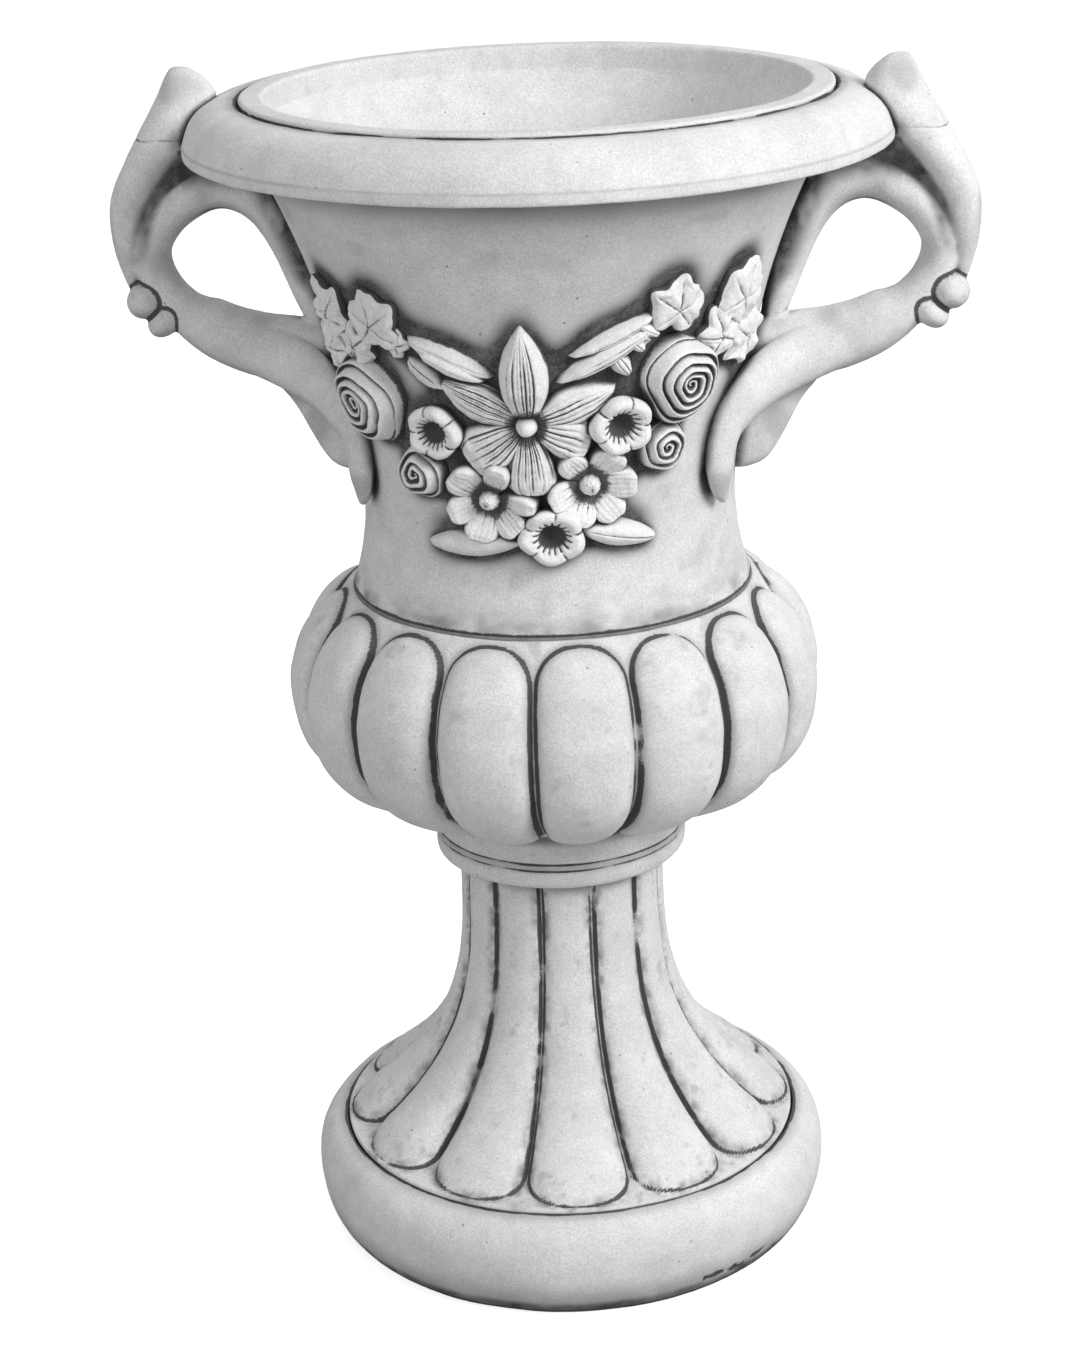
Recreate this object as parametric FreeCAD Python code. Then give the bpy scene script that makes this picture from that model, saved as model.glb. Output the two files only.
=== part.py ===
"""Cast-stone urn planter: a handled, flower-hung vase standing on a fluted pedestal.

Frame: +Z up, origin at the centre of the footprint on the ground.
The front of the vase faces -Y and the two handles lie on +X and -X.
All sizes are millimetres and degrees.
"""
import FreeCAD, Part
import math
import os
from FreeCAD import Matrix, Vector

# ---------------------------------------------------------------- driving dimensions
# pedestal
plinth_height = 70.0
plinth_radius = 177.0
plinth_foot_radius = 164.0
plinth_top_radius = 157.0
plinth_recess_radius = 118.0
plinth_recess_depth = 26.0
disc_radius = 155.5
disc_thickness = 7.0
disc_seat_depth = 5.0
stem_height = 196.0
stem_top_radius = 70.0
stem_waist_radius = 69.0
petal_count = 12
petal_tip_radius = 152.0
petal_turn = 7.0
# vase
foot_height = 38.0
foot_radius = 84.5
mortar_thickness = 3.0
bowl_height = 149.0
bowl_radius = 176.0
lobe_count = 16
lobe_relief = 15.0
bell_height = 284.0
bell_base_radius = 130.5
bell_waist_radius = 121.3
bell_shoulder_radius = 124.5
bell_top_radius = 179.0
bell_wall = 18.0
rim_height = 32.0
rim_overhang = 42.5
rim_edge_height = 7.0
lip_proud = 3.0
lip_setback = 36.5
lip_thickness = 16.0
lip_width = 15.5
bowl_floor = 24.0
bowl_wall = 26.0
# drain and locating pipe
pipe_radius = 25.0
pipe_wall = 3.0
pipe_engagement = 28.0
pipe_clearance = 1.5
drain_hole_radius = 14.0
# steel inside the castings
bar_radius = 4.0
bar_count = 4
bar_circle_radius = 44.0
bar_cover = 14.0
hoop_wire_radius = 2.5
dowel_radius = 4.0
dowel_in_handle = 30.0
dowel_in_wall = 12.0
# handles
handle_overhang = 55.0
handle_depth = 17.0
web_depth = 9.0
horn_depth = 25.0
bead_radius = 10.0
bead_depth = 14.0
# garland
leaf_thickness = 9.0
petal_relief = 9.0
rose_radius = 24.0
bud_rose_radius = 13.0
trumpet_radius = 17.5
blossom_radius = 23.0
lily_petal_length = 60.0

# ---------------------------------------------------------------- levels worked out from them
plinth_top = plinth_height
disc_base = plinth_top - disc_seat_depth
disc_top = disc_base + disc_thickness
stem_top = disc_top + stem_height
foot_top = stem_top + foot_height
bowl_base = foot_top + mortar_thickness
bowl_top = bowl_base + bowl_height
bell_base = bowl_top + mortar_thickness
bell_top = bell_base + bell_height
rim_top = bell_top + rim_height
lip_top = rim_top + lip_proud
lip_base = lip_top - lip_thickness
bell_waist = bell_base + 0.14 * bell_height
bell_shoulder = bell_base + 0.34 * bell_height
bell_flare = bell_base + 0.64 * bell_height
bell_flare_radius = bell_shoulder_radius + 0.27 * (bell_top_radius - bell_shoulder_radius)
rim_radius = bell_top_radius + rim_overhang
lip_radius = rim_radius - lip_setback
opening_radius = lip_radius - lip_width
handle_reach = rim_radius + handle_overhang
axis_z = Vector(0, 0, 1)
axis_y = Vector(0, 1, 0)


# ---------------------------------------------------------------- shape helpers
def outline(start, *steps):
    """Closed wire in the XZ plane: a step is an end point, or an arc's (middle, end)."""
    def point(pair):
        return Vector(pair[0], 0, pair[1])
    edges = []
    here = start
    for step in steps + (start,):
        if isinstance(step[0], tuple):
            edges.append(Part.Arc(point(here), point(step[0]), point(step[1])).toShape())
            here = step[1]
        elif step != here:
            edges.append(Part.LineSegment(point(here), point(step)).toShape())
            here = step
    return Part.Wire(edges)


def turned(start, *steps):
    """Solid of revolution about the vertical axis."""
    return Part.Face(outline(start, *steps)).revolve(Vector(), axis_z, 360)


def cylinder(radius, base, top):
    return Part.makeCylinder(radius, top - base, Vector(0, 0, base))


def hoop(radius, height, wire_radius):
    return Part.makeTorus(radius, wire_radius, Vector(0, 0, height))


def oval(centre, across, along, half_width, half_depth):
    """Smooth closed curve round an ellipse in the plane of two unit vectors."""
    points = []
    for step in range(12):
        angle = math.radians(30 * step)
        sideways = across * (half_width * math.cos(angle))
        points.append(centre + sideways + along * (half_depth * math.sin(angle)))
    curve = Part.BSplineCurve()
    curve.interpolate(points, True)
    return Part.Wire([curve.toShape()])


def limb(stations):
    """Tapering limb through (centre, half width, half depth); its depth lies along Y."""
    rings = []
    for index, (centre, half_width, half_depth) in enumerate(stations):
        before = stations[max(index - 1, 0)][0]
        after = stations[min(index + 1, len(stations) - 1)][0]
        across = (after - before).normalize().cross(axis_y)
        rings.append(oval(centre, across, axis_y, half_width, half_depth))
    return Part.makeLoft(rings, True)


def stack(levels):
    """Loft through level ovals given as (height, inner x, outer x, middle y, half depth)."""
    rings = []
    for height, inner, outer, middle, half_depth in levels:
        centre = Vector((inner + outer) / 2, middle, height)
        rings.append(oval(centre, Vector(1, 0, 0), axis_y, (outer - inner) / 2, half_depth))
    return Part.makeLoft(rings, True)


def scalloped(count, levels, turn=0.0):
    """Ribbed loft through (height, groove radius, crest radius), with a crest at the turn angle."""
    pitch = 360.0 / count
    wires = []
    for height, groove, crest in levels:
        def place(radius, angle):
            direction = math.radians(angle + turn - 90)
            return Vector(radius * math.cos(direction), radius * math.sin(direction), height)
        edges = []
        for rib in range(count):
            middle = rib * pitch
            edges.append(Part.Arc(place(groove, middle - pitch / 2), place(crest, middle),
                                  place(groove, middle + pitch / 2)).toShape())
        wires.append(Part.Wire(edges))
    return Part.makeLoft(wires, True)


def solids(shape, smallest=30.0):
    """The solids of a shape as one compound, without the slivers that a cut leaves."""
    kept = [solid for solid in shape.Solids if solid.Volume > smallest]
    return kept[0] if len(kept) == 1 else Part.makeCompound(kept)


def carved(shape, tools):
    """The shape less each tool that it may reach, one after another."""
    for tool in tools:
        if shape.BoundBox.intersect(tool.BoundBox):
            shape = solids(shape.cut(tool))
    return shape


def largest(shape):
    return max(shape.Solids, key=lambda solid: solid.Volume)


def group(shapes):
    return Part.makeCompound([solid for shape in shapes for solid in shape.Solids])


def mirrored(shape):
    return shape.mirror(Vector(), Vector(1, 0, 0))


def half_turned(shape):
    return shape.rotated(Vector(), axis_z, 180)


def arc_radius(height, start, middle, end):
    """Radius, at a height, of the arc through three (radius, height) points."""
    circle = Part.Circle(Vector(*start), Vector(*middle), Vector(*end))
    reach = math.sqrt(max(circle.Radius ** 2 - (height - circle.Center.y) ** 2, 0.0))
    side = 1 if middle[0] > circle.Center.x else -1
    return circle.Center.x + side * reach


# ---------------------------------------------------------------- pedestal
def base_plinth():
    body = turned(
        (0, 0), (plinth_foot_radius, 0),
        ((plinth_radius, 0.56 * plinth_height), (plinth_top_radius, plinth_height)),
        (0, plinth_height))
    seat = cylinder(disc_radius, disc_base, plinth_top)
    recess = Part.makeCone(plinth_recess_radius, plinth_recess_radius - 14, plinth_recess_depth)
    return body.cut(seat).cut(recess)


def fluted_stem():
    rise = stem_height
    spread = petal_tip_radius - stem_waist_radius
    waist = stem_waist_radius
    ribs = scalloped(petal_count, [
        (disc_top, waist + 0.80 * spread, petal_tip_radius - 1),
        (disc_top + 0.045 * rise, waist + 0.78 * spread, petal_tip_radius),
        (disc_top + 0.09 * rise, waist + 0.70 * spread, waist + 0.94 * spread),
        (disc_top + 0.15 * rise, waist + 0.52 * spread, waist + 0.70 * spread),
        (disc_top + 0.23 * rise, waist + 0.31 * spread, waist + 0.43 * spread),
        (disc_top + 0.34 * rise, waist + 0.14 * spread, waist + 0.235 * spread),
        (disc_top + 0.46 * rise, waist + 0.02 * spread, waist + 0.11 * spread),
        (disc_top + 0.60 * rise, waist - 4.0, waist + 0.04 * spread),
        (disc_top + 0.80 * rise, waist - 5.0, waist),
        (stem_top, stem_top_radius - 5.0, stem_top_radius)], petal_turn)
    return ribs.fuse(cylinder(disc_radius, disc_base, disc_top)).removeSplitter()


def drain_pipe():
    pipe_base = plinth_recess_depth
    pipe_top = stem_top + pipe_engagement
    outer = cylinder(pipe_radius, pipe_base, pipe_top)
    return outer.cut(cylinder(pipe_radius - pipe_wall, pipe_base, pipe_top))


def stem_bars():
    bars = []
    for number in range(bar_count):
        angle = math.radians(360.0 * number / bar_count + 45)
        place = Vector(bar_circle_radius * math.cos(angle), bar_circle_radius * math.sin(angle),
                       plinth_recess_depth + bar_cover)
        bars.append(Part.makeCylinder(bar_radius, stem_top - bar_cover - place.z, place))
    return Part.makeCompound(bars)


# ---------------------------------------------------------------- vase castings
def vase_foot():
    step = foot_radius - 2.0
    ring_top = stem_top + 0.40 * foot_height
    body = turned(
        (0, stem_top), (foot_radius - 6.0, stem_top),
        ((foot_radius - 1.5, stem_top + 0.17 * foot_height), (foot_radius, ring_top - 1.5)),
        (step, ring_top),
        ((step - 1.0, stem_top + 0.70 * foot_height), (foot_radius + 4.0, foot_top)),
        (0, foot_top))
    return body.cut(cylinder(pipe_radius + pipe_clearance, stem_top, foot_top))


def bowl_cavity():
    """Hollow of the bowl, from its floor up to the mouth that meets the bell."""
    mouth = bell_base_radius - bell_wall
    inside = bowl_radius - lobe_relief - bowl_wall
    floor = bowl_base + bowl_floor
    return turned(
        (0, floor), (0.35 * inside, floor),
        ((0.86 * inside, floor + 0.17 * bowl_height), (inside, bowl_base + 0.60 * bowl_height)),
        ((0.96 * inside, bowl_base + 0.82 * bowl_height), (mouth, bowl_top)),
        (0, bowl_top))


def gadrooned_bowl():
    """Hollow bowl of upright lobes; a level is shares of the height and of the two swells."""
    groove = bowl_radius - lobe_relief
    bottom = foot_radius + 4.0
    top = bell_base_radius + 3.0
    lower = [(bowl_base + rise * bowl_height, bottom + dip * (groove - bottom),
              bottom + out * (bowl_radius - bottom)) for rise, dip, out in
             ((0.0, 0.0, 0.02), (0.035, 0.22, 0.33), (0.115, 0.52, 0.63), (0.25, 0.80, 0.86),
              (0.40, 0.95, 0.97), (0.58, 1.0, 1.0))]
    upper = [(bowl_base + rise * bowl_height, top + dip * (groove - top),
              top + out * (bowl_radius - top)) for rise, dip, out in
             ((0.74, 0.86, 0.92), (0.87, 0.62, 0.73), (0.95, 0.40, 0.44), (1.0, 0.0, 0.09))]
    body = scalloped(lobe_count, lower + upper, 180.0 / lobe_count)
    return body.cut(bowl_cavity()).cut(cylinder(drain_hole_radius, bowl_base, bowl_top))


bell_lower_arc = ((bell_base_radius, bell_base), (bell_waist_radius, bell_waist),
                  (bell_shoulder_radius, bell_shoulder))
bell_upper_arc = ((bell_shoulder_radius, bell_shoulder), (bell_flare_radius, bell_flare),
                  (bell_top_radius, bell_top))


def bell_radius(height):
    """Outer radius of the bell at a height."""
    arc = bell_lower_arc if height < bell_shoulder else bell_upper_arc
    return arc_radius(height, *arc)


def bell_solid(inset):
    """The bell as a filled solid, drawn in by the inset."""
    def drawn_in(points):
        return tuple((radius - inset, height) for radius, height in points)
    base, waist, shoulder = drawn_in(bell_lower_arc)
    _, flare, top = drawn_in(bell_upper_arc)
    return turned((0, bell_base), base, (waist, shoulder), (flare, top), (0, bell_top))


def bell_envelope():
    return bell_solid(0.0)


def bell_body():
    return bell_envelope().cut(bell_solid(bell_wall))


def ring_under_bell(base, top):
    return cylinder(bell_base_radius, base, top).cut(cylinder(bell_base_radius - bell_wall, base, top))


def foot_mortar():
    bed = cylinder(foot_radius + 3.0, foot_top, bowl_base)
    return bed.cut(cylinder(pipe_radius + pipe_clearance, foot_top, bowl_base))


def rim_envelope():
    """The rim as a filled solid, from the bell's top to the underside of the raised lip."""
    return turned(
        (0, bell_top), (rim_radius - 2.5, bell_top), (rim_radius, bell_top + 1.5),
        (rim_radius, bell_top + rim_edge_height),
        ((rim_radius - 10.5, rim_top - 6.5), (lip_radius + 2.5, rim_top)),
        (lip_radius, rim_top - 2.0), (0, rim_top - 2.0))


def rim_moulding():
    throat = turned(
        (0, bell_top), (bell_top_radius - bell_wall, bell_top),
        (opening_radius, lip_base), (0, lip_base))
    return rim_envelope().cut(throat).cut(cylinder(lip_radius, lip_base, lip_top))


def rim_lip():
    return cylinder(lip_radius, lip_base, lip_top).cut(cylinder(opening_radius, lip_base, lip_top))


# ---------------------------------------------------------------- handles, drawn on the +X side
def reach_at(share, drop):
    """Point of a handle: share of the way from the bell's wall to the reach, drop below the rim."""
    height = bell_top - drop
    wall = bell_radius(height)
    return Vector(wall + share * (handle_reach - wall), 0, height)


def handle_loop():
    """Strand that leaves the bell, rounds the finger opening and comes back as the arm."""
    ring = limb([
        (reach_at(-0.06, 104), 6, 8),
        (reach_at(0.05, 90), 11, 12),
        (reach_at(0.10, 66), 14.5, handle_depth - 2),
        (reach_at(0.15, 42), 14.5, handle_depth),
        (reach_at(0.25, 27), 13, handle_depth),
        (reach_at(0.41, 24), 12.5, handle_depth),
        (reach_at(0.60, 33), 12.5, handle_depth),
        (reach_at(0.75, 50), 12.5, handle_depth - 1),
        (reach_at(0.80, 71), 12, handle_depth - 2),
        (reach_at(0.765, 92), 13, handle_depth - 2),
        (reach_at(0.67, 110), 16, handle_depth),
        (reach_at(0.53, 122), 18.5, handle_depth + 1),
        (reach_at(0.36, 131), 20, handle_depth + 2),
        (reach_at(0.18, 135), 21.5, handle_depth + 4),
        (reach_at(-0.10, 137), 23, handle_depth + 5)])
    corners = [(-0.10, 0), (-0.10, 70), (0.13, 50), (0.27, 28), (0.42, 24), (0.62, 34), (0.78, 55),
               (0.90, 38), (0.78, 10), (0.62, 0)]
    points = [reach_at(share, drop) for share, drop in corners]
    face = Part.Face(Part.makePolygon(points + points[:1]))
    web = face.extrude(axis_y * (2 * web_depth)).translated(-axis_y * web_depth)
    return ring.fuse(web)


def handle_horn():
    edge = rim_radius
    return stack([
        (bell_top - 90, edge + 39.5, edge + 44.5, 0, 3),
        (bell_top - 80, edge + 36.5, edge + 50, 0, 8),
        (bell_top - 60, edge + 33.5, edge + 54, 0, 0.62 * horn_depth),
        (bell_top - 40, edge + 26.5, edge + 54, 0, 0.82 * horn_depth),
        (bell_top - 25, edge + 18.5, edge + 49.5, 0, 0.94 * horn_depth),
        (bell_top - 10, edge + 6.5, edge + 42, 0, horn_depth),
        (bell_top + 5, edge - 7, edge + 35, 0, horn_depth),
        (bell_top + 20, edge - 15, edge + 28, 0, 0.93 * horn_depth),
        (bell_top + 31, edge - 18, edge + 23, 0, 0.76 * horn_depth),
        (bell_top + 41, edge - 8.5, edge + 16.5, 0, 0.48 * horn_depth),
        (bell_top + 48, edge + 2, edge + 11.5, 0, 0.2 * horn_depth),
        (bell_top + 50, edge + 5, edge + 9, 0, 2)])


def ellipsoid(centre, half_x, half_y, half_z):
    scale = Matrix()
    scale.scale(half_x, half_y, half_z)
    return Part.makeSphere(1.0).transformGeometry(scale).translated(centre)


def handle_beads():
    upper = ellipsoid(Vector(rim_radius + 36, 0, bell_top - 101), bead_radius, bead_depth, bead_radius)
    lower = ellipsoid(Vector(rim_radius + 24, 0, bell_top - 113.5), 0.86 * bead_radius, 0.9 * bead_depth,
                      0.86 * bead_radius)
    return Part.makeCompound([upper, lower.cut(upper)])


def handle_tongue():
    """Rounded bracket that hangs under the arm, against the bell."""
    wall = bell_radius(bell_top - 195)
    return stack([
        (bell_top - 150, wall - 12, wall + 53, 0, 11),
        (bell_top - 162, wall - 12, wall + 45, 0, 12),
        (bell_top - 178, wall - 12, wall + 33, 0, 13),
        (bell_top - 192, wall - 12, wall + 26, 0, 13),
        (bell_top - 203, wall - 12, wall + 20, 0, 11.5),
        (bell_top - 209, wall - 11, wall + 12, 0, 8)])


def handle_tail():
    """Leafy tail that runs from the arm down the front of the bell."""
    stations = []
    for drop, around, half_width, half_depth in (
            (133, 1.0, 12, 12), (146, 10.0, 13, 12), (160, 19.0, 12.5, 11), (178, 26.0, 11.5, 10),
            (195, 29.5, 10, 8.5), (208, 29.0, 8, 6.5), (218, 27.0, 5.5, 4.5), (226, 25.0, 2.5, 2.5)):
        height = bell_top - drop
        angle = math.radians(-around)
        outward = Vector(math.cos(angle), math.sin(angle), 0)
        sideways = Vector(-math.sin(angle), math.cos(angle), 0)
        lift = 14.0 * max(0.0, 1 - (drop - 133) / 45.0)
        centre = outward * (bell_radius(height) + 1.0 + lift) + Vector(0, 0, height)
        stations.append(oval(centre, sideways, outward, half_width, half_depth))
    return Part.makeLoft(stations, True)


def dowel(height):
    """Steel dowel that ties a handle to the wall of the bell, pointing along X."""
    start = bell_radius(height) - dowel_in_wall
    return Part.makeCylinder(dowel_radius, dowel_in_wall + dowel_in_handle, Vector(start, 0, height),
                             Vector(1, 0, 0))


def handle_dowels():
    return Part.makeCompound([dowel(bell_top - 28), dowel(bell_top - 136)])


# ---------------------------------------------------------------- garland, drawn on the -Y side
def on_bell(azimuth, height, shape, spin=0.0, sink=2.0):
    """Stand a shape, modelled round the origin with +Z outward and +Y up, on the bell's wall."""
    slope = math.degrees(math.atan2(bell_radius(height + 5) - bell_radius(height - 5), 10.0))
    placed = shape.rotated(Vector(), axis_z, spin)
    placed = placed.rotated(Vector(), Vector(1, 0, 0), 90 + slope)
    placed = placed.translated(Vector(0, -(bell_radius(height) - sink), height))
    return placed.rotated(Vector(), axis_z, azimuth)


def pad(edges, relief):
    """Raised pad with sloping shoulders over an outline drawn round the origin."""
    def level(height, share):
        scale = Matrix()
        scale.scale(share, share, 1)
        return Part.Wire([edge.transformGeometry(scale).translated(Vector(0, 0, height)) for edge in edges])
    return Part.makeLoft([level(-6, 1), level(0.35 * relief, 1), level(0.8 * relief, 0.8),
                          level(relief, 0.45)], True, True)


def leaf_pad(length, width, relief):
    """Pad with a pointed end at each end of its length, along X."""
    left, right = Vector(-length / 2, 0, 0), Vector(length / 2, 0, 0)
    sides = [Part.Arc(left, Vector(0, width / 2, 0), right).toShape(),
             Part.Arc(right, Vector(0, -width / 2, 0), left).toShape()]
    return pad(sides, relief)


def rose(radius):
    """Rounded rose: two raised rings of petals about a bud."""
    rise = 0.55 * radius
    return turned(
        (0, -6), (radius, -6), (radius, 0.30 * rise), (0.88 * radius, 0.80 * rise),
        (0.70 * radius, 0.88 * rise), (0.62 * radius, 0.55 * rise), (0.50 * radius, 1.05 * rise),
        (0.36 * radius, 1.08 * rise),
        (0.28 * radius, 0.70 * rise), (0.16 * radius, 1.15 * rise), (0, 1.15 * rise))


def trumpet(radius):
    """Flared flower with a deep throat and five lobes."""
    rise = 0.85 * radius
    flare = turned(
        (0, -6), (0.58 * radius, -6), (0.62 * radius, 0.5 * rise), (radius, 0.88 * rise),
        (0.94 * radius, rise), (0.60 * radius, 0.85 * rise), (0.26 * radius, 0.1 * rise), (0, 0.1 * rise))
    for lobe in range(5):
        angle = math.radians(72 * lobe + 54)
        notch = Part.makeCylinder(0.14 * radius, 2 * rise,
                                  Vector(radius * math.cos(angle), radius * math.sin(angle), 0))
        flare = flare.cut(notch)
    return flare


def blossom(radius):
    """Five round petals about a boss."""
    petal_radius = 0.46 * radius
    petals = []
    for petal in range(5):
        angle = math.radians(72 * petal + 90)
        away = radius - petal_radius
        centre = Vector(away * math.cos(angle), away * math.sin(angle), petal_relief - petal_radius)
        petals.append(Part.makeSphere(petal_radius, centre))
    return Part.makeSphere(0.30 * radius, Vector(0, 0, 0.5 * petal_relief)).fuse(petals)


def lily():
    """Six long petals about a boss, the flower in the middle of the garland."""
    petals = []
    for number in range(6):
        length = lily_petal_length if number in (0, 1, 5) else 0.75 * lily_petal_length
        petal = leaf_pad(length, 0.42 * lily_petal_length, petal_relief)
        outward = petal.translated(Vector(length / 2 + 1.0, 0, 0))
        petals.append(outward.rotated(Vector(), axis_z, 60 * number + 91))
    return Part.makeCylinder(7.5, 6 + 1.35 * petal_relief, Vector(0, 0, -6)).fuse(petals)


def ivy_leaf(size):
    """Five-pointed leaf with notched sides."""
    points = []
    for angle, share in ((90, 0.58), (60, 0.27), (28, 0.52), (-5, 0.28), (-42, 0.46), (-90, 0.22),
                         (222, 0.46), (185, 0.28), (152, 0.52), (120, 0.27)):
        turn = math.radians(angle)
        points.append(Vector(share * size * math.cos(turn), share * size * math.sin(turn), 0))
    return pad(Part.makePolygon(points + points[:1]).Edges, leaf_thickness)


def between(start, end, width, relief):
    """Lens on the bell from one (azimuth, height) to another."""
    azimuth = (start[0] + end[0]) / 2
    height = (start[1] + end[1]) / 2
    run = math.radians(end[0] - start[0]) * bell_radius(height)
    rise = end[1] - start[1]
    length = math.hypot(run, rise)
    piece = leaf_pad(length, width, relief)
    return on_bell(azimuth, height, piece, math.degrees(math.atan2(rise, run)))


def garland():
    """The garland's groups, each cut clear of the ones before it."""
    middle = bell_base + 0.482 * bell_height
    layers = {
        "trumpets": [on_bell(azimuth, middle + rise, trumpet(trumpet_radius), spin) for azimuth, rise, spin in
                     ((-24.3, -4, 10), (24.0, -1, -14), (6.3, -72, 20))],
        "large_roses": [on_bell(-45.2, middle + 8, rose(rose_radius)),
                        on_bell(39.6, middle + 23, rose(rose_radius))],
        "small_roses": [on_bell(-31.2, middle - 36, rose(bud_rose_radius)),
                        on_bell(36.1, middle - 20, rose(bud_rose_radius))],
        "blossoms": [on_bell(-11.6, middle - 49, blossom(blossom_radius), 12),
                     on_bell(15.9, middle - 39, blossom(blossom_radius), -10)],
        "lily": [on_bell(0.1, middle, lily())],
        "pods": [between((-27.5, middle + 53), (-8.5, middle + 32), 17, 8),
                 between((33.0, middle + 60), (8.5, middle + 31), 17, 8),
                 between((-31.5, middle - 80), (-3.0, middle - 76), 17, 9),
                 between((12.0, middle - 70), (37.0, middle - 77), 16, 8)],
        "ivy_leaves": [on_bell(azimuth, middle + rise, ivy_leaf(size), spin) for azimuth, rise, size, spin in
                       ((-40.0, 54, 42, 8), (-62.0, 54, 40, 24), (-55.0, 36, 34, -40), (37.2, 68, 42, -10),
                        (60.4, 66, 40, -24), (54.5, 42, 40, 34))],
    }
    envelope = bell_envelope()
    placed = []
    pieces = {}
    for name, shapes in layers.items():
        clear = []
        for shape in shapes:
            box = shape.BoundBox
            neighbours = [piece for other_box, piece in placed if box.intersect(other_box)]
            trimmed = carved(shape, [envelope] + neighbours)
            clear.append(trimmed)
            placed.append((box, trimmed))
        pieces[name] = group(clear)
    return pieces


# ---------------------------------------------------------------- assembly
def build():
    parts = {}
    bars = stem_bars()
    pipe_hole = cylinder(pipe_radius, 0, stem_top)
    base_hoop = hoop(plinth_foot_radius - 20, 0.5 * plinth_height, 1.4 * hoop_wire_radius)
    parts["base_plinth"] = base_plinth().cut([bars, pipe_hole, base_hoop])
    parts["base_hoop"] = base_hoop
    parts["fluted_stem"] = fluted_stem().cut([bars, pipe_hole])
    parts["stem_bars"] = bars
    parts["drain_pipe"] = drain_pipe()

    parts["vase_foot"] = vase_foot()
    parts["foot_mortar"] = foot_mortar()
    bowl_hoop = hoop(bowl_radius - lobe_relief - 0.5 * bowl_wall, bowl_base + 0.62 * bowl_height,
                     hoop_wire_radius)
    parts["gadrooned_bowl"] = gadrooned_bowl().cut(bowl_hoop)
    parts["bowl_hoop"] = bowl_hoop
    parts["bell_mortar"] = ring_under_bell(bowl_top, bell_base)

    dowels = handle_dowels()
    all_dowels = [dowels, mirrored(dowels)]
    hoops = group([hoop(bell_radius(height) - bell_wall / 2, height, hoop_wire_radius)
                   for height in (bell_waist, bell_shoulder, bell_flare)])
    parts["bell_body"] = bell_body().cut([hoops] + all_dowels)
    parts["bell_hoops"] = hoops
    rim_hoop = hoop(lip_radius + 12, bell_top + 13, hoop_wire_radius)
    parts["rim_moulding"] = rim_moulding().cut(rim_hoop)
    parts["rim_hoop"] = rim_hoop
    parts["rim_lip"] = rim_lip()

    walls = [bell_envelope(), rim_envelope(), cylinder(lip_radius, bell_top, lip_top)]
    horn = carved(handle_horn(), walls)
    loop = carved(handle_loop(), walls + [horn, dowels])
    beads = group([carved(bead, [loop, horn]) for bead in handle_beads().Solids])
    tongue = carved(handle_tongue(), walls + [loop])
    front_tail = largest(carved(handle_tail(), walls + [loop, tongue]))
    tails = group([front_tail, front_tail.mirror(Vector(), axis_y)])
    for name, shape in (("loop", loop), ("horn", horn), ("beads", beads), ("tongue", tongue),
                        ("tails", tails), ("dowels", dowels)):
        parts["right_handle_" + name] = shape
        parts["left_handle_" + name] = mirrored(shape)

    for name, shape in garland().items():
        parts["front_" + name] = shape
        parts["back_" + name] = half_turned(shape)
    return parts


os.makedirs("parts", exist_ok=True)
for node, solid in build().items():
    solid.exportStep("parts/" + node + ".step")
    print(node, len(solid.Solids), solid.isValid(), round(solid.Volume / 1000), "cm3")
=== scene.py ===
"""Looks of the urn planter: sculpted cast-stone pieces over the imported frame. Lengths are in millimetres."""
import math
from functools import reduce

import bpy
import numpy as np
from mathutils import Matrix


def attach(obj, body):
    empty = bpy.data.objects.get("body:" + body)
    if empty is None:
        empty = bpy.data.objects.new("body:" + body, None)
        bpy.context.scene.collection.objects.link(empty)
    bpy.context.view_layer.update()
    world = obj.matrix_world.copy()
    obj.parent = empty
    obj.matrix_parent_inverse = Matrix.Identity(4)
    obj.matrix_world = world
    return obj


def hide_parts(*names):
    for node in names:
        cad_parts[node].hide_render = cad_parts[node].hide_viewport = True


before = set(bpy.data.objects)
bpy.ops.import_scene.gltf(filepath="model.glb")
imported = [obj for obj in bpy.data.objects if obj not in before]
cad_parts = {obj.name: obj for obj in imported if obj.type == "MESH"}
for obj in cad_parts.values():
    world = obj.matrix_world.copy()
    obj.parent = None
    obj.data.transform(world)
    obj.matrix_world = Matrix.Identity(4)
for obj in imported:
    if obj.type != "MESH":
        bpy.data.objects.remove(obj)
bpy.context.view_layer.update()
PI = math.pi
MM = 0.001
BELL_BASE, BELL_TOP, WALL = 461, 745, 18
SUNK = -2.0     # how deep a flower's hidden skirt goes below the bell's surface
HIDDEN = 99.0   # distance to the edge that marks rows outside a relief


# ---------------------------------------------------------------- numbers
def noise(points, size, seed=0):
    """Smooth lumps of about the size, from -1 to 1."""
    q = np.asarray(points, float) / size + seed * 17.31
    cell = np.floor(q).astype(np.int64)
    f = q - cell
    f = f * f * (3 - 2 * f)
    total = np.zeros(q.shape[:-1])
    for corner in range(8):
        step = np.array([corner & 1, corner >> 1 & 1, corner >> 2 & 1])
        c = cell + step
        h = (c[..., 0] * 374761393 + c[..., 1] * 668265263 + c[..., 2] * 1274126177 + seed * 97) & 0xFFFFFFFF
        h = ((h ^ (h >> 13)) * 1274126177) & 0xFFFFFFFF
        h = (h ^ (h >> 16)) & 0xFFFF
        total += np.prod(np.where(step, f, 1 - f), axis=-1) * (h / 32767.5 - 1)
    return total


def circle(count):
    return np.linspace(0, 2 * PI, count, endpoint=False)


def unit(vectors):
    return vectors / np.linalg.norm(vectors, axis=-1, keepdims=True)


def most(*values):
    return reduce(np.maximum, values)


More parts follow.
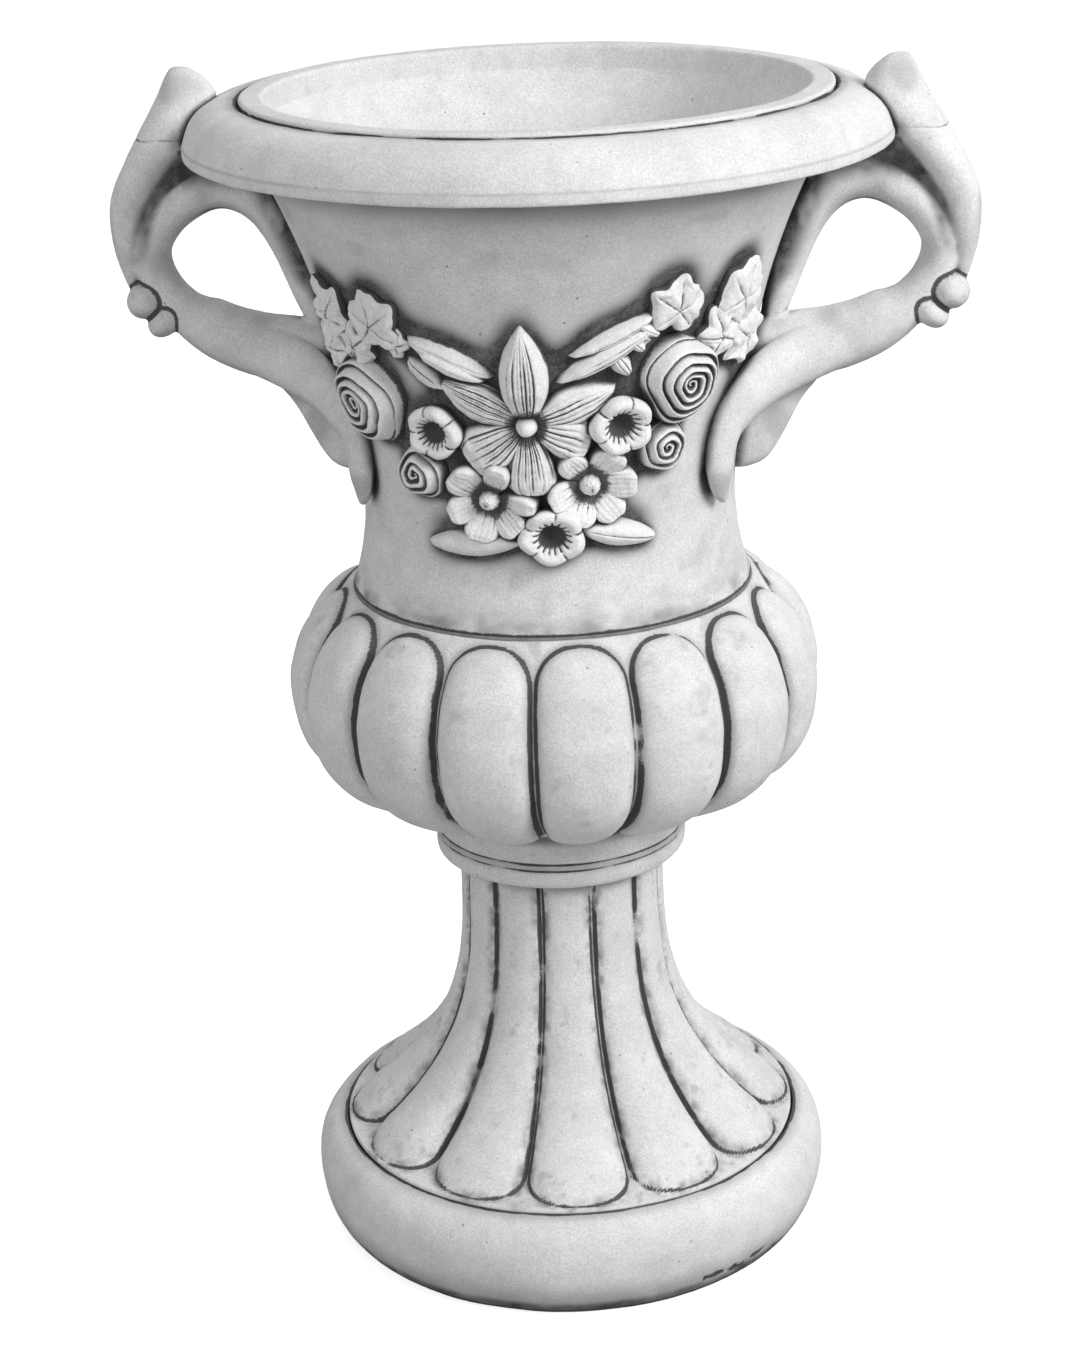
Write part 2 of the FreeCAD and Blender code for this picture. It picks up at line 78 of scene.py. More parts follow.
def layered(points, *layers):
    """Sum of noises, each given as its share, size and seed."""
    return sum(share * noise(points, size, seed) for share, size, seed in layers)


def ease(x, low, high):
    t = np.clip((np.asarray(x, float) - low) / (high - low), 0, 1)
    return t * t * (3 - 2 * t)


def spline(points, step, axes=2):
    """Smooth curve through the points, about a step apart; further values in a row ride along."""
    p = np.asarray(points, float)
    p = np.vstack([2 * p[0] - p[1], p, 2 * p[-1] - p[-2]])
    made = []
    for a, b, c, d in zip(p[:-3], p[1:-2], p[2:-1], p[3:]):
        count = max(1, int(np.ceil(np.linalg.norm((c - b)[:axes]) / step)))
        t = np.linspace(0, 1, count, endpoint=False)[:, None]
        made.append(b + 0.5 * t * ((c - a) + t * ((2 * a - 5 * b + 4 * c - d) + t * (3 * b - a - 3 * c + d))))
    return np.vstack(made + [p[-2:-1]])


def straight(points, step):
    p = np.asarray(points, float)
    made = []
    for a, b in zip(p[:-1], p[1:]):
        count = max(1, int(np.ceil(np.linalg.norm((b - a)[:2]) / step)))
        made.append(a + (b - a) * np.linspace(0, 1, count, endpoint=False)[:, None])
    return np.vstack(made + [p[-1:]])


def crisp(points, step):
    """Straight runs with close points at each corner, so that softening keeps the corner."""
    p = np.asarray(points, float)
    made = []
    for a, b in zip(p[:-1], p[1:]):
        length = np.linalg.norm(b - a)
        inner = np.linspace(0, 1, max(2, int(np.ceil(length / step)) + 1))[1:-1]
        made.append(a + (b - a) * np.concatenate([[0, 0.25 / length], inner, [1 - 0.25 / length]])[:, None])
    return np.vstack(made + [p[-1:]])


def joined(*runs):
    """One closed loop out of runs that follow on from each other."""
    loop = [runs[0]]
    for run in runs[1:]:
        loop.append(run[1:] if np.allclose(run[0, :2], loop[-1][-1, :2], atol=0.01) else run)
    loop = np.vstack(loop)
    return loop[:-1] if np.allclose(loop[0, :2], loop[-1, :2], atol=0.01) else loop


def softened(loop, times=2):
    for _ in range(times):
        loop = (np.roll(loop, 1, 0) + 2 * loop + np.roll(loop, -1, 0)) / 4
    return loop


def about_axis(radius, height, angle):
    """Points at an angle from the front, about the urn's axis."""
    return np.stack([radius * np.sin(angle), -radius * np.cos(angle), height + 0 * angle], -1)


def spun(grid, degrees):
    """Turns points in their own plane, across and up."""
    c, s = math.cos(math.radians(degrees)), math.sin(math.radians(degrees))
    return np.stack([grid[..., 0] * c - grid[..., 1] * s, grid[..., 0] * s + grid[..., 1] * c, grid[..., 2]], -1)


def linked(name, data):
    made = bpy.data.objects.new(name, data)
    bpy.context.scene.collection.objects.link(made)
    return made


def posed(right, up, back, place):
    return Matrix([*zip(right, up, back, place), (0, 0, 0, 1)])


def lengths(points):
    return np.concatenate([[0], np.cumsum(np.linalg.norm(np.diff(points[:, :2], axis=0), axis=1))])


def blurred(grid, sigma, wrap):
    """Gaussian blur of a 2-D grid; wrap joins its columns round."""
    reach = int(3 * sigma)
    x = np.arange(-reach, reach + 1)
    kernel = np.exp(-x * x / (2 * sigma * sigma))
    kernel /= kernel.sum()
    out = np.zeros_like(grid)
    for k, shift in zip(kernel, x):
        out += k * np.roll(grid, shift, 1)
    padded = np.pad(out, ((reach, reach), (0, 0)), mode="edge")
    out = np.zeros_like(grid)
    for k, shift in zip(kernel, x):
        out += k * padded[reach + shift:reach + shift + grid.shape[0]]
    return out


# ---------------------------------------------------------------- meshes
class Form:
    """Vertices, faces and the dark wash and painted shade that lie in lines and halos, gathered over several closed
    parts.
    """

    def __init__(self):
        self.points, self.faces, self.line, self.halo, self.count = [], [], [], [], 0

    def add(self, points, quads, tris, line, halo):
        fans = (quads[:, :3], quads[:, [0, 2, 3]], tris)
        if sum(np.einsum("ij,ij->", points[f[:, 0]], np.cross(points[f[:, 1]], points[f[:, 2]])) for f in fans) < 0:
            quads, tris = quads[:, ::-1], tris[:, ::-1]
        self.points.append(points)
        self.faces += [f + self.count for f in (quads, tris) if len(f)]
        self.line.append(line)
        self.halo.append(halo)
        self.count += len(points)

    def ring(self, grid, line=0.0, halo=0.0):
        """Closed both ways: rows follow a closed loop, columns go round."""
        rows, cols = grid.shape[:2]
        i, j = np.meshgrid(np.arange(rows), np.arange(cols), indexing="ij")
        n, m = (i + 1) % rows, (j + 1) % cols
        quads = np.stack([i * cols + j, i * cols + m, n * cols + m, n * cols + j], -1).reshape(-1, 4)
        blank = np.zeros((rows, cols))
        self.add(grid.reshape(-1, 3), quads, np.zeros((0, 3), int), (line + blank).ravel(), (halo + blank).ravel())

    def tube(self, grid, line=0.0):
        """Columns go round, and the first and last rows are capped."""
        rows, cols = grid.shape[:2]
        i, j = np.meshgrid(np.arange(rows - 1), np.arange(cols), indexing="ij")
        m = (j + 1) % cols
        quads = np.stack([i * cols + j, i * cols + m, (i + 1) * cols + m, (i + 1) * cols + j], -1).reshape(-1, 4)
        j = np.arange(cols)
        m = (j + 1) % cols
        first, last = rows * cols, rows * cols + 1
        tris = np.vstack([np.stack([np.full(cols, first), m, j], -1),
                          np.stack([np.full(cols, last), (rows - 1) * cols + j, (rows - 1) * cols + m], -1)])
        points = np.vstack([grid.reshape(-1, 3), grid[0].mean(0), grid[-1].mean(0)])
        line = line + np.zeros((rows, cols))
        line = np.concatenate([line.ravel(), [line[0].mean(), line[-1].mean()]])
        self.add(points, quads, tris, line, np.zeros(len(points)))

    def mesh(self, name):
        points = np.vstack(self.points)
        mesh = bpy.data.meshes.new(name)
        mesh.vertices.add(len(points))
        mesh.vertices.foreach_set("co", (points * MM).ravel())
        sizes = np.concatenate([np.full(len(f), f.shape[1]) for f in self.faces])
        corners = np.concatenate([f.ravel() for f in self.faces])
        mesh.loops.add(len(corners))
        mesh.loops.foreach_set("vertex_index", corners)
        mesh.polygons.add(len(sizes))
        mesh.polygons.foreach_set("loop_start", np.concatenate([[0], np.cumsum(sizes)[:-1]]))
        mesh.polygons.foreach_set("use_smooth", np.ones(len(sizes), bool))
        mesh.update(calc_edges=True)
        mesh.validate()
        store_wash_and_shade(mesh, np.concatenate(self.line), np.concatenate(self.halo))
        return mesh


def store_wash_and_shade(mesh, line, halo):
    # stores the dark wash and painted shade as point attributes
    for name, values in (("line", line), ("halo", halo)):
        mesh.attributes.new(name, "FLOAT", "POINT").data.foreach_set("value", np.clip(values, 0, 1))


def normals_of(grid):
    """Normals of a grid that is closed both ways."""
    across = np.roll(grid, -1, 1) - np.roll(grid, 1, 1)
    along = np.roll(grid, -1, 0) - np.roll(grid, 1, 0)
    n = np.cross(across, along)
    return n / np.maximum(np.linalg.norm(n, axis=-1, keepdims=True), 1e-9)


def cast(grid, amount=0.3, seed=0):
    """The slight unevenness of a casting, pushed along the normals of a ring."""
    lumps = layered(grid, (1, 38, seed), (0.45, 11, seed + 1), (0.22, 3.5, seed + 2))
    grid = grid + normals_of(grid) * (amount * lumps)[..., None]
    grid[..., 2] = np.maximum(grid[..., 2], 0)
    return grid


def turned(loop, columns):
    angle = circle(columns)
    return about_axis(loop[:, :1], loop[:, 1:2], angle), angle


def ring_mesh(name, grid, line, halo):
    form = Form()
    form.ring(grid, line, halo)
    return form.mesh(name)


def show(name, mesh, body, nodes, material):
    piece = linked(name, mesh)
    mesh.materials.clear()
    mesh.materials.append(material)
    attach(piece, body)
    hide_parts(*nodes)


# ---------------------------------------------------------------- materials
class Shader:
    """A few short hands for a node material."""

    def __init__(self, name):
        self.material = bpy.data.materials.new(name)
        self.material.use_nodes = True
        self.tree = self.material.node_tree
        self.bsdf = self.tree.nodes["Principled BSDF"]
        self.place = self.node("ShaderNodeTexCoord").outputs["Object"]

    def node(self, kind, inputs=None, **settings):
        made = self.tree.nodes.new(kind)
        for key, value in settings.items():
            setattr(made, key, value)
        for key, value in (inputs or {}).items():
            if isinstance(value, bpy.types.NodeSocket):
                self.tree.links.new(value, made.inputs[key])
            else:
                made.inputs[key].default_value = value
        return made

    def grain(self, scale, detail=2.0, rough=0.5):
        return self.node("ShaderNodeTexNoise", {"Vector": self.place, "Scale": scale, "Detail": detail,
                                                "Roughness": rough}).outputs["Fac"]

    def math(self, operation, a, b=0.0, clamp=False):
        return self.node("ShaderNodeMath", {0: a, 1: b}, operation=operation, use_clamp=clamp).outputs[0]

    def plus(self, a, b):
        return self.math("ADD", a, b)

    def times(self, a, b):
        return self.math("MULTIPLY", a, b)

    def spread(self, value, low, high, to_low=0.0, to_high=1.0, smooth=False):
        made = self.node("ShaderNodeMapRange", {"Value": value, "From Min": low, "From Max": high,
                                                "To Min": to_low, "To Max": to_high},
                         interpolation_type="SMOOTHSTEP" if smooth else "LINEAR")
        return made.outputs["Result"]

    def blend(self, share, a, b, kind="MIX"):
        made = self.node("ShaderNodeMix", data_type="RGBA", blend_type=kind)
        for socket, value in ((made.inputs["Factor"], share), (made.inputs[6], a), (made.inputs[7], b)):
            if isinstance(value, bpy.types.NodeSocket):
                self.tree.links.new(value, socket)
            else:
                socket.default_value = value
        return made.outputs[2]

    def mark(self, name):
        return self.node("ShaderNodeAttribute", attribute_name=name).outputs["Fac"]

    def finish(self, colour, roughness, height=None, distance=0.0004, strength=0.5):
        self.tree.links.new(colour, self.bsdf.inputs["Base Color"])
        self.tree.links.new(roughness, self.bsdf.inputs["Roughness"])
        if height is not None:
            bump = self.node("ShaderNodeBump", {"Height": height, "Distance": distance, "Strength": strength})
            self.tree.links.new(bump.outputs["Normal"], self.bsdf.inputs["Normal"])
        return self.material


def grey(value):
    return (value, value, value, 1.0)


def cast_stone(name, low, high):
    """White cast stone: fine sandy grain, smudges, small open pits, and dark antique wash with painted shade in every
    hollow.
    """
    s = Shader(name)
    clouds = s.grain(9.0, 6.0, 0.62)
    blotches = s.grain(52.0, 6.0, 0.66)
    sand = s.grain(760.0, 3.0, 0.62)
    ragged = s.plus(s.times(blotches, 0.55), s.times(sand, 0.45))
    tone = s.plus(s.times(clouds, 0.34), s.plus(s.times(blotches, 0.32), s.times(sand, 0.34)))
    stone = s.blend(s.spread(tone, 0.36, 0.64), grey(low), grey(high))
    stone = s.blend(1.0, stone, s.spread(sand, 0.32, 0.68, 0.90, 1.07), "MULTIPLY")

    # dark lines and halos written on the meshes: antique wash and painted shade
    line = s.plus(s.mark("line"), s.spread(ragged, 0.3, 0.7, -0.34, 0.34))
    line = s.spread(line, 0.36, 0.72, 0.0, 0.95, True)
    halo = s.times(s.mark("halo"), s.spread(ragged, 0.32, 0.68, 0.72, 1.16))
    # painted shade: ambient occlusion darkens the colour in crevices and where parts meet
    nook = s.node("ShaderNodeAmbientOcclusion", {"Distance": 0.014}, samples=12).outputs["AO"]
    nook = s.plus(s.math("SUBTRACT", 1.0, nook), s.spread(ragged, 0.3, 0.7, -0.12, 0.12))
    nook = s.spread(nook, 0.27, 0.66, 0.0, 0.95, True)
    smudge = s.spread(s.plus(s.times(s.grain(24.0, 8.0, 0.75), 0.7), s.times(sand, 0.3)), 0.57, 0.67, 0.0, 0.24, True)
    wash_and_shade = s.math("MAXIMUM", s.math("MAXIMUM", line, halo), s.math("MAXIMUM", nook, smudge), True)
    wash_and_shade = s.times(wash_and_shade, 0.97)
    colour = s.blend(wash_and_shade, stone, grey(0.034))

    cells = s.node("ShaderNodeTexVoronoi", {"Vector": s.place, "Scale": 120.0, "Randomness": 1.0})
    chosen = s.node("ShaderNodeSeparateColor", {"Color": cells.outputs["Color"]})
    size = s.spread(chosen.outputs[0], 0.72, 1.0, 0.0, 0.10)
    pit = s.spread(s.math("SUBTRACT", cells.outputs["Distance"], size), -0.02, 0.03, 1.0, 0.0, True)
    pit = s.times(pit, s.math("GREATER_THAN", chosen.outputs[0], 0.74))
    colour = s.blend(s.times(pit, 0.62), colour, grey(0.12))

    rough = s.spread(s.plus(sand, s.times(wash_and_shade, 0.2)), 0.3, 0.9, 0.62, 0.9)
    height = s.math("SUBTRACT", s.plus(s.times(sand, 0.7), s.times(blotches, 0.6)), s.times(pit, 1.2))
    s.bsdf.inputs["Specular IOR Level"].default_value = 0.3
    return s.finish(colour, rough, height, 0.0005, 0.6)


def speckled(name, low, high, scale, rough, metal=0.0, bump=0.0003):
    """Plain hidden materials: two tones over grain, with a light texture."""
    s = Shader(name)
    grains = s.grain(scale, 6.0, 0.65)
    patches = s.grain(scale * 0.12, 3.0)
    mixed = s.plus(s.times(grains, 0.6), s.times(patches, 0.4))
    colour = s.blend(s.spread(mixed, 0.35, 0.65), low, high)
    s.bsdf.inputs["Metallic"].default_value = metal
    return s.finish(colour, s.spread(grains, 0.3, 0.7, rough - 0.1, rough + 0.1), grains, bump, 0.5)


stone = cast_stone("cast_stone", 0.66, 0.93)
# painted highlight: a brighter copy of the stone for the raised garland, standing in for its light
painted_highlight_stone = cast_stone("cast_stone_painted_highlight", 0.80, 1.0)
mortar = speckled("mortar", grey(0.16), grey(0.34), 260.0, 0.85, bump=0.0006)
steel = speckled("reinforcing_steel", (0.16, 0.12, 0.10, 1), (0.42, 0.38, 0.35, 1), 180.0, 0.5, 0.9)
plastic = speckled("pipe_plastic", (0.30, 0.31, 0.32, 1), (0.40, 0.41, 0.42, 1), 90.0, 0.5, bump=0.0001)
HIDDEN_KINDS = (("mortar", mortar), ("pipe", plastic), ("hoop", steel), ("bars", steel), ("dowels", steel))
for node_name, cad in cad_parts.items():
    cad.data.materials.clear()
    cad.data.materials.append(next((made for word, made in HIDDEN_KINDS if word in node_name), stone))


# ---------------------------------------------------------------- bell wall, which the garland lies on
def arc(a, b, c, step):
    """Points of the arc through three (radius, height) points."""
    (ax, ay), (bx, by), (cx, cy) = a, b, c
    d = 2 * (ax * (by - cy) + bx * (cy - ay) + cx * (ay - by))
    ux = ((ax**2 + ay**2) * (by - cy) + (bx**2 + by**2) * (cy - ay) + (cx**2 + cy**2) * (ay - by)) / d
    uy = ((ax**2 + ay**2) * (cx - bx) + (bx**2 + by**2) * (ax - cx) + (cx**2 + cy**2) * (bx - ax)) / d
    radius = math.hypot(ax - ux, ay - uy)
    start, end = math.atan2(ay - uy, ax - ux), math.atan2(cy - uy, cx - ux)
    end = start + (end - start + PI) % (2 * PI) - PI
    count = int(radius * abs(end - start) / step) + 2
    t = np.linspace(start, end, count)
    return np.stack([ux + radius * np.cos(t), uy + radius * np.sin(t)], 1)


wall = np.vstack([arc((130.5, BELL_BASE), (121.3, 500.8), (124.5, 557.6), 1.0),
                  arc((124.5, 557.6), (139.2, 642.8), (179, BELL_TOP), 1.0)[1:]])


def bell_at(height):
    return np.interp(height, wall[:, 1], wall[:, 0])


def on_bell(local, azimuth, height, spin=0.0):
    """Local points (across, up, out) onto the bell at an azimuth from the front, in degrees."""
    u, v, out = np.moveaxis(spun(local, spin), -1, 0)
    z = height + 0.975 * v
    slope = np.arctan((bell_at(z + 3) - bell_at(z - 3)) / 6)
    radius = bell_at(z) + out * np.cos(slope)
    angle = math.radians(azimuth) + u / (bell_at(z) + 0.5 * np.maximum(out, 0))
    return about_axis(radius, z - out * np.sin(slope), angle)


# ---------------------------------------------------------------- flowers and leaves
POINTED = ((0, .10), (.08, .40), (.2, .66), (.38, .93), (.52, 1), (.68, .90), (.82, .62), (.93, .30), (1, .02))
FANNED = ((0, .16), (.1, .34), (.3, .64), (.5, .86), (.68, .99), (.8, 1), (.9, .84), (.96, .58), (1, .04))
ROUNDED = ((0, .12), (.1, .42), (.25, .72), (.45, .95), (.62, 1), (.78, .92), (.9, .68), (.97, .38), (1, .05))
PETAL = ((0, .34), (.10, .60), (.26, .90), (.42, 1), (.58, .95), (.74, .74), (.88, .42), (1, .03))
SLENDER = ((0, .02), (.08, .36), (.22, .72), (.42, .98), (.58, 1), (.76, .76), (.9, .40), (1, .02))


def hollows(grid, reach, closed_round):
    """How far each point of a relief lies below its surroundings, from 0 to 1."""
    low = grid[..., 2].copy()
    for _ in range(reach):
        rows = np.pad(low, ((1, 1), (0, 0)), mode="edge")
        low = (rows[:-2] + rows[1:-1] + rows[2:]) / 3
        cols = np.pad(low, ((0, 0), (1, 1)), mode="wrap" if closed_round else "edge")
        low = (cols[:, :-2] + cols[:, 1:-1] + cols[:, 2:]) / 3
    return ease(low - grid[..., 2], 0.02, 0.95)


def skirted(grid, line, flank):
    """Adds a hidden skirt that goes into the bell, and a smaller ring inside it."""
    skirt = grid[-1:] * [flank, flank, 1]
    skirt[..., 2] = SUNK
    return (np.concatenate([grid, skirt, skirt * [0.5, 0.5, 1]]),
            np.concatenate([line, np.ones((2, grid.shape[1]))]))


def strip(length, half_width, outline, profile, section=2.4, grooves=(), groove_depth=0.9, groove_width=0.075,
          cup=0.0, start=0.0, seed=0, rows=44, cols=33):
    """Petal along +X from the start: profile is the height of its middle line, as (share, height) pairs."""
    t = 0.5 - 0.5 * np.cos(np.linspace(0, PI, rows))
    t = 0.55 * t + 0.45 * np.linspace(0, 1, rows)
    s = np.sin(np.linspace(-PI / 2, PI / 2, cols)) * 0.6 + 0.4 * np.linspace(-1, 1, cols)
    width = half_width * np.interp(t, *zip(*outline))
    width = np.convolve(np.pad(width, 2, mode="edge"), np.ones(5) / 5, "valid") * (0.02 + 0.98 * ease(
        np.minimum(t, 1 - t), 0, 0.015))
    T, S = np.meshgrid(t, s, indexing="ij")
    crown = np.interp(T, *zip(*profile))
    ends = ease(np.minimum(T / 0.10, (1 - T) / 0.07), 0, 1) ** 0.5
    edge = (1 - np.abs(S) ** (section * 2)) ** 0.5
    dome = (1 - np.abs(S) ** section) ** 0.55 + cup * S * S * edge
    out = crown * dome * ends
    # Dark marks of wash and painted shade: at the edges where the petal meets the bell, in the grooves, darker
    # towards the base, and in the petal's hollows.
    line = ease(np.abs(S), 0.92, 1.0) * 0.8
    sway = 0.06 * noise(np.stack([T * 3, S * 0, T * 0], -1), 1.0, seed + 5)
    for number, groove in enumerate(grooves):
        strength = 0.45 + 0.55 * ((number * 61 + seed * 29) % 11) / 10
        near = np.exp(-((S - groove - sway) / groove_width) ** 2) * strength
        fade = ease(T, 0.0, 0.08) * (1 - ease(T, 0.55 + 0.4 * ((number * 37 + seed) % 10) / 10, 1.02))
        out = out - groove_depth * near * fade
        line = np.maximum(line, near * fade * (1.15 - 0.45 * T))
    top = np.stack([start + length * T, width[:, None] * S, np.maximum(out, 0.2 * ends - 0.5)], -1)
    under = np.stack([start + length * T[:, ::-1], width[:, None] * S[:, ::-1], np.full_like(T, SUNK)], -1)
    under = under[:, 1:-1:4]
    grid = np.concatenate([top, under], 1)
    grid[..., 2] += layered(grid, (0.42, 4.2, seed), (0.2, 1.8, seed + 1))
    line = np.maximum(line, 0.5 * hollows(top, 16, False) * (1 - ease(np.abs(S), 0.8, 0.95)))
    marks = np.concatenate([line, np.ones(under.shape[:2])], 1)
    return grid, marks


def disc(outline, height, marks, rows, cols, seed, flank=1.0):
    """Round relief: outline(angle) in mm, height(share, angle) in mm and marks(share, angle)."""
    share = np.linspace(0.03, 1, rows)
    angle = circle(cols)
    P, A = np.meshgrid(share, angle, indexing="ij")
    reach = outline(A)
    grid = np.stack([P * reach * np.cos(A), P * reach * np.sin(A), height(P, A)], -1)
    grid[..., 2] += layered(grid, (0.35, 4.0, seed + 3), (0.18, 1.8, seed + 4))
    # wash and painted shade in the hollows of the relief and at its edge
    line = np.maximum(marks(P, A), 0.6 * hollows(grid, 7, True) * ease(P, 0.97, 0.9))
    return skirted(grid, line, flank)


def rose(radius, turns, seed):
    def outline(a):
        return radius * (1 + 0.05 * np.sin(3 * a + seed) + 0.03 * np.sin(5 * a + 2 * seed))

    def wave(p, a):
        phase = turns * p ** 0.80 + a / (2 * PI) + 0.11 * np.sin(2 * a + seed) * p + 0.05 * np.sin(3 * a)
        return phase - np.floor(phase)

    def height(p, a):
        f = wave(p, a)
        ridge = ease(f, 0.0, 0.32) * (1 - ease(f, 0.45, 0.98))
        dome = 0.66 * radius * (1 - p ** 2.6) ** 0.62 * (0.78 + 0.22 * ease(p, 0.0, 0.42))
        return dome + (3.4 + 1.9 * p) * ridge * (1 - ease(p, 0.94, 1.0)) * min(1.0, radius / 22)

    def marks(p, a):
        # wash and painted shade in the grooves between the petals, darker under each overlapping edge and at the rim
        f = wave(p, a)
        groove = np.exp(-(np.minimum(f, 1.05 - f) / (0.27 - 0.13 * p)) ** 2)
        shade = 0.45 * ease(f, 0.58, 1.0)
        patchy = 1 - (0.15 + 0.22 * np.sin(a + seed)) * ease(p, 0.5, 0.95)
        return np.maximum(np.maximum(groove, shade) * patchy, ease(p, 0.96, 1.0))
    return disc(outline, height, marks, int(3.6 * radius) + 14, int(7.5 * radius) + 20, seed, 0.95)


def trumpet(radius, seed):
    """Open flower: a funnel with a thick rolled rim, drawn in below it."""
    share, reach, rise = zip(*((0, .04, 2.0), (.08, .14, 2.4), (.2, .26, 4.4), (.33, .38, 8.0), (.46, .50, 11.6),
                               (.58, .62, 14.0), (.70, .75, 15.2), (.80, .87, 14.8), (.88, .96, 12.8),
                               (.94, 1.0, 9.8), (.98, .97, 6.0), (1, .90, 3.0)))
    P, A = np.meshgrid(np.linspace(0, 1, 52), circle(150), indexing="ij")
    outer = ease(P, 0.40, 0.75)
    petal = np.cos(5 * A + seed)
    notch = np.exp(-((((5 * A + seed) / (2 * PI)) % 1 - 0.5) / 0.055) ** 2) * outer
    folds = np.cos(17 * A + 2 * seed + 0.8 * np.sin(3 * A))
    wave = (0.045 * petal + 0.02 * np.cos(3 * A + seed)) * outer
    r = radius * np.interp(P, share, reach) * (1 + wave - 0.03 * notch)
    pleats = 0.6 * folds * ease(P, .2, .3) * (1 - ease(P, .5, .66))
    h = np.interp(P, share, rise) + 0.8 * petal * outer - 1.1 * notch + pleats
    h = h + 0.5 * noise(np.stack([r * np.cos(A), r * np.sin(A), h], -1), 5, seed)
    h = h * np.where(P > 0.05, radius / 18, 1)
    grid = np.stack([r * np.cos(A), r * np.sin(A), h], -1)
    # painted shade: the throat darkens towards its centre, with dark streaks in the folds and notches and a dark edge
    # where it meets the bell
    throat = 1 - ease(P, 0.24, 0.56)
    streaks = ease(folds, 0.1, -0.8) * ease(P, .2, .3) * (1 - ease(P, 0.48, 0.66))
    line = most(throat, 0.85 * streaks, 0.75 * notch, 0.9 * ease(P, 0.94, 0.99))
    return skirted(grid, line, 0.95)


def ivy(size, seed):
    tips = sorted(((90, .62), (60, .43), (28, .56), (-4, .40), (-42, .50), (-90, .30),
                   (-138, .48), (-176, .38), (152, .55), (120, .41)))
    angles = np.radians([t[0] + 5 * math.sin(3.7 * k + seed) for k, t in enumerate(tips)])
    shares = np.array([t[1] * (1 + 0.08 * math.sin(2.3 * k + 1.7 * seed)) for k, t in enumerate(tips)]) * size
    angles = np.concatenate([angles - 2 * PI, angles, angles + 2 * PI])
    shares = np.tile(shares, 3)
    rays = np.radians([90, 28, 152, -42, -138])
    fine = np.linspace(-3 * PI, 3 * PI, 1081)
    soft = np.convolve(np.interp(fine, angles, shares), np.ones(13) / 13, "same")

    def outline(a):
        return np.interp((a + PI) % (2 * PI) - PI, fine, soft) * (1 + 0.03 * np.sin(11 * a + seed))

    def nearest(p, a):
        reach = p * outline(a)
        away = np.full(p.shape, 99.0)
        for ray in rays:
            turn = (a - ray + PI) % (2 * PI) - PI
            side = np.where(np.abs(turn) < PI / 2, np.abs(reach * np.sin(turn)), 99.0)
            away = np.minimum(away, side)
        return away

    def height(p, a):
        away = nearest(p, a)
        place = np.stack([p * size * np.cos(a) * 0.5, p * size * np.sin(a) * 0.5, 0 * a], -1)
        crumple = layered(place, (1.5, 0.21 * size, seed), (0.7, 0.1 * size, seed + 1))
        leaf = 9.4 - 3.6 * p ** 2.2 + crumple * ease(p, 0, 0.3) + 0.22 * np.minimum(away, 8)
        leaf = leaf + 1.3 * np.cos(5 * a - 0.4 * PI + 0.3 * seed) * ease(p, .3, .9)
        return (leaf * (1 - 0.35 * ease(p, 0.86, 1.0)) - 1.3 * np.exp(-(away / 0.8) ** 2) * ease(p, 0.04, 0.2)
                * (1 - ease(p, 0.7, 0.95))) * min(1.0, size / 30)

    # wash and painted shade in the veins, at the edge and at the middle of the leaf
    def marks(p, a):
        away = nearest(p, a)
        vein = np.exp(-(away / 0.75) ** 2) * (1 - ease(p, 0.45, 0.8)) * 0.7
        return most(vein, ease(p, 0.97, 1.0), 0.45 * (1 - ease(p, 0.05, 0.3)))
    return disc(outline, height, marks, 26, 190, seed, 0.94)


def knob(radius, rise, seed, bumps=0.0):
    def height(p, a):
        knobs = bumps * np.sin(9 * a + 5 * p) * np.sin(13 * p + seed)
        return rise * (1 - 0.75 * p ** 2.6) + knobs

    # painted shade at the knob's edge and between its bumps
    def marks(p, a):
        gaps = ease(np.sin(9 * a + 5 * p) * np.sin(13 * p), -0.1, -0.6)
        return np.maximum(ease(p, 0.8, 1.0), (0.7 if bumps else 0.0) * gaps)
    return disc(lambda a: radius * (1 + 0 * a), height, marks, 16, 64, seed)


def lily(form, azimuth, height):
    fine = (-0.86, -0.66, -0.5, -0.36, -0.22, -0.1, 0.04, 0.17, 0.3, 0.44, 0.6, 0.8)
    low = ((0, 3.0), (.15, 7.5), (.4, 10.5), (.7, 10.0), (1, 6.0))
    high = ((0, 5.0), (.12, 11), (.35, 15.5), (.6, 15.0), (.85, 11), (1, 6))
    fan = ((0, 3.0), (.2, 7.0), (.5, 10.0), (.8, 10.5), (1, 7))
    for angle, length, half, outline, profile, lines, seed in (
            (152.5, 58, 13.2, POINTED, low, fine, 1), (22.5, 57, 13.6, POINTED, low, fine[::2], 2),
            (215.0, 44, 19.0, FANNED, fan, fine[1:-1], 3),
            (-22.0, 39, 16.5, FANNED, fan, fine[1::2], 5),
            (-88.0, 46, 16.0, FANNED, fan, fine, 4),
            (91.0, 63, 15.4, PETAL, high, (-0.42, -0.27, -0.12, 0.03, 0.18, 0.36, 0.6), 6)):
        grid, marks = strip(length, half, outline, profile, 2.8, lines, 1.5, 0.055, 0.0, 2.0, seed, 70, 81)
        local = spun(grid, angle)
        # painted shade darkening the middle of the lily, where the petals meet
        core = ease(np.hypot(local[..., 0], local[..., 1]), 21, 6) * 0.9
        form.tube(on_bell(local, azimuth, height), np.maximum(marks, core))
    grid, marks = knob(7.0, 15.5, 3)
    form.tube(on_bell(grid, azimuth, height), marks)


